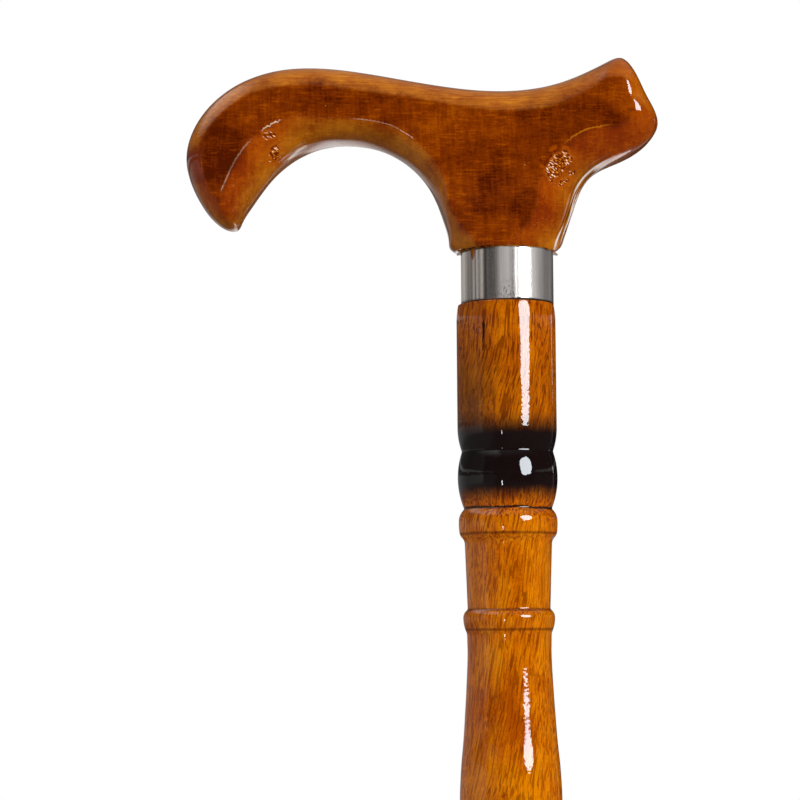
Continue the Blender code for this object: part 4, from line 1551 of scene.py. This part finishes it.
@dataclass
class Studio:
    """The pale floor, the white surroundings, the soft lamps and the camera."""

    focal_pixels: float = 2503.0
    picture_pixels: float = 800.0
    sensor: float = 36.0
    pitch: float = 5.25
    roll: float = 0.40
    eye_x: float = -0.02873
    eye_y: float = -0.6708
    eye_drop: float = 0.10138
    floor_radius: float = 8.0
    floor_segments: int = 96
    lamp_distance: float = 5.0
    lamp_drop: float = 0.06
    lamp_colour: Colour = (0.94, 1.0, 1.06)
    # How bright the walls are, by degrees round from the camera towards the picture's right
    walls: tuple[Point, ...] = (
        (-180, 0.95), (-173, 0.40), (-164, 0.20), (-150, 0.24), (-135, 0.26), (-118, 0.24), (-106, 0.22),
        (-95, 0.27), (-80, 0.32), (-61, 0.38), (-60, 0.100), (-35, 0.090), (-25, 0.025), (61, 0.015),
        (65, 0.20), (126, 0.18), (128.5, 1.0), (131.5, 1.0), (133.5, 0.05), (167, 0.07), (173, 0.70),
        (180, 0.95),
    )
    # How bright the table is, by how far a way points to the picture's right
    table: tuple[Point, ...] = (
        (0.0, 1.40), (0.10, 1.10), (0.18, 0.60), (0.27, 0.80), (0.335, 2.6), (0.39, 3.0), (0.415, 1.5),
        (0.44, 0.35), (0.56, 0.03),
    )
    # The table's ramp holds its brightness divided by this, which is multiplied back after it
    table_range: float = 3.0
    box_roundness: float = 2.6

    def __post_init__(self) -> None:
        """Read the collar's top, which the camera and lamps are set by."""
        self.collar_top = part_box("collar")[1].z

    def _camera(self) -> None:
        """Stand the camera where the photograph was taken from."""
        data = bpy.data.cameras.new("camera")
        data.sensor_width = self.sensor
        data.lens = self.focal_pixels / self.picture_pixels * self.sensor
        camera = stand("camera", data)
        tilt = Matrix.Rotation(math.radians(90 + self.pitch), 4, "X")
        lean = Matrix.Rotation(-math.radians(self.roll), 4, "Z")
        place = Matrix.Translation((self.eye_x, self.eye_y, self.collar_top - self.eye_drop))
        camera.matrix_world = place @ tilt @ lean
        bpy.context.scene.camera = camera

    def _lamp(self, name: str, azimuth: float, elevation: float, spread: Point, radiance: float) -> None:
        """Hang a round soft lamp that faces the top of the shaft.

        Args:
            name: The lamp's name.
            azimuth: Degrees to the right of the way to the camera.
            elevation: Degrees above the horizon.
            spread: Degrees from its middle to its side and to its top.
            radiance: How bright its face is, where 1 is white.
        """
        turn, rise = math.radians(azimuth), math.radians(elevation)
        way = Vector((math.sin(turn) * math.cos(rise), -math.cos(turn) * math.cos(rise), math.sin(rise)))
        data = bpy.data.lights.new(name, "AREA")
        data.shape = "RECTANGLE"
        data.size, data.size_y = (2 * self.lamp_distance * math.tan(math.radians(half)) for half in spread)
        data.energy = radiance * math.pi * data.size * data.size_y
        data.color = self.lamp_colour
        self._round_corners(data)
        lamp = stand(name, data)
        middle = Vector((0, 0, self.collar_top - self.lamp_drop))
        lamp.matrix_world = Matrix.LocRotScale(
            middle + way * self.lamp_distance, way.to_track_quat("Z", "Y"), None)
        lamp.visible_camera = False

    def _round_corners(self, data: bpy.types.Light) -> None:
        """Mask a square lamp's corners, as a softbox's cloth does.

        Args:
            data: The lamp's data.
        """
        data.use_nodes = True
        work = NodeWork(data.node_tree)
        reach = []
        for side in work.axes(work.node("NewGeometry", {}).outputs["Parametric"])[:2]:
            off = work.node("Math", {0: side, 1: 2.0, 2: -1.0}, operation="MULTIPLY_ADD").outputs[0]
            reach.append(work.math("POWER", work.math("ABSOLUTE", off), self.box_roundness))
        inside = work.math("LESS_THAN", work.plus(*reach), 1.0)
        work.feed(work.tree.nodes["Emission"].inputs["Strength"], inside)

    def _surroundings(self) -> None:
        """Light the studio: white behind, grey at the sides with a bright window, dark round the camera."""
        world = bpy.data.worlds.new("studio")
        bpy.context.scene.world = world
        world.use_nodes = True
        work = NodeWork(world.node_tree)
        levels, times, plus = work.levels, work.times, work.plus
        x, y, z = work.axes(work.node("TexCoord", {}).outputs["Generated"])
        rays = work.node("LightPath", {}).outputs
        azimuth = work.math("ARCTAN2", x, times(y, -1.0))
        share = plus(work.math("DIVIDE", azimuth, math.tau), 0.5)
        walls = work.ramp(share, *[(angle / 360 + 0.5, (bright,) * 3) for angle, bright in self.walls])
        # The walls are dimmer to the right and higher up, but for a bright strip and a window at the right
        window = times(
            levels(walls, 0.9, 1.0), levels(x, 0.5, 0.7, 0.0, 2.5), levels(z, 0.09, 0.10),
            levels(z, 0.14, 0.13))
        strip = times(levels(z, 0.123, 0.130, 0.0, 1.5), levels(z, 0.168, 0.156))
        dim = times(levels(x, 0.0, 0.1, 1.0, 0.15), levels(z, 0.070, 0.085, 1.0, 0.30))
        walls = work.mix(1.0, work.mix(1.0, walls, work.highest(strip, dim), "MULTIPLY"), window, "ADD")
        # The table behind the cane, cut off on a slant
        back = plus(y, work.highest(times(x, 0.87), times(x, 0.30)))
        pale = work.ramp(x, *[(place, (bright / self.table_range,) * 3) for place, bright in self.table])
        table = times(
            pale, self.table_range, levels(back, 0.90, 1.02), levels(x, -0.30, -0.05, 0.30, 1.0),
            levels(plus(x, z), -0.04, 0.02, 1.0, 0.12))
        low = work.highest(table, levels(x, -0.80, -0.40, 0.13, 0.04))
        walls = work.mix(levels(z, -0.16, -0.03, 1.0, 0.0), walls, low)
        ceiling = times(
            levels(x, -0.25, -0.45, 0.20, 1.1), levels(rays["Is Diffuse Ray"], 0.0, 1.0, 1.0, 0.2))
        walls = work.mix(levels(z, 0.45, 0.70), walls, ceiling)
        # Matt surfaces get more light than the mirrored walls give
        fill = times(
            plus(levels(z, 0.15, 0.90, 0.0, 0.36), 0.05, levels(x, 0.0, -0.90, 0.0, 0.46)),
            rays["Is Diffuse Ray"])
        shown = work.mix(rays["Is Camera Ray"], work.mix(1.0, walls, fill, "ADD"), WHITE)
        work.feed(work.tree.nodes["Background"].inputs["Color"], shown)

    def _floor(self) -> None:
        """Lay a pale floor that fades to white away from the cane."""
        mesh = bmesh.new()
        bmesh.ops.create_circle(mesh, cap_ends=True, segments=self.floor_segments, radius=self.floor_radius)
        finish = Finish("floor_pale", Base_Color=(0.78, 0.78, 0.78), Roughness=0.7)
        gap = finish.vector("LENGTH", finish.place).outputs["Value"]
        rays = finish.node("LightPath", {}).outputs
        fade = finish.times(finish.levels(gap, 0.35, 1.60), rays["Is Camera Ray"])
        glow = finish.node("Emission", {"Color": WHITE, "Strength": 1.0}).outputs[0]
        mixed = finish.node("MixShader", {0: fade, 1: finish.shader.outputs[0], 2: glow}).outputs[0]
        finish.feed(finish.tree.nodes["Material Output"].inputs["Surface"], mixed)
        floor = solid("floor", mesh, finish)
        floor.visible_glossy = False

    def build(self) -> None:
        """Set the studio up."""
        bpy.context.scene.view_settings.view_transform = "Standard"
        self._camera()
        self._lamp("softbox", 41.5, 15.6, (13.6, 11.9), 15.0)
        self._lamp("low_lamp", -14.8, -8.0, (1.1, 3.2), 22.0)
        self._surroundings()
        self._floor()


def main() -> None:
    """Build and dress every sub-assembly in order."""
    logging.basicConfig(level=logging.INFO, format="%(name)s: %(message)s")
    Studio().build()
    for assembly in (CarvedHandle(), JointStud(), SteelCollar(), TurnedShaft(), RubberTip()):
        LOG.info("building %s", type(assembly).__name__)
        assembly.build()


if __name__ == "__main__":
    main()
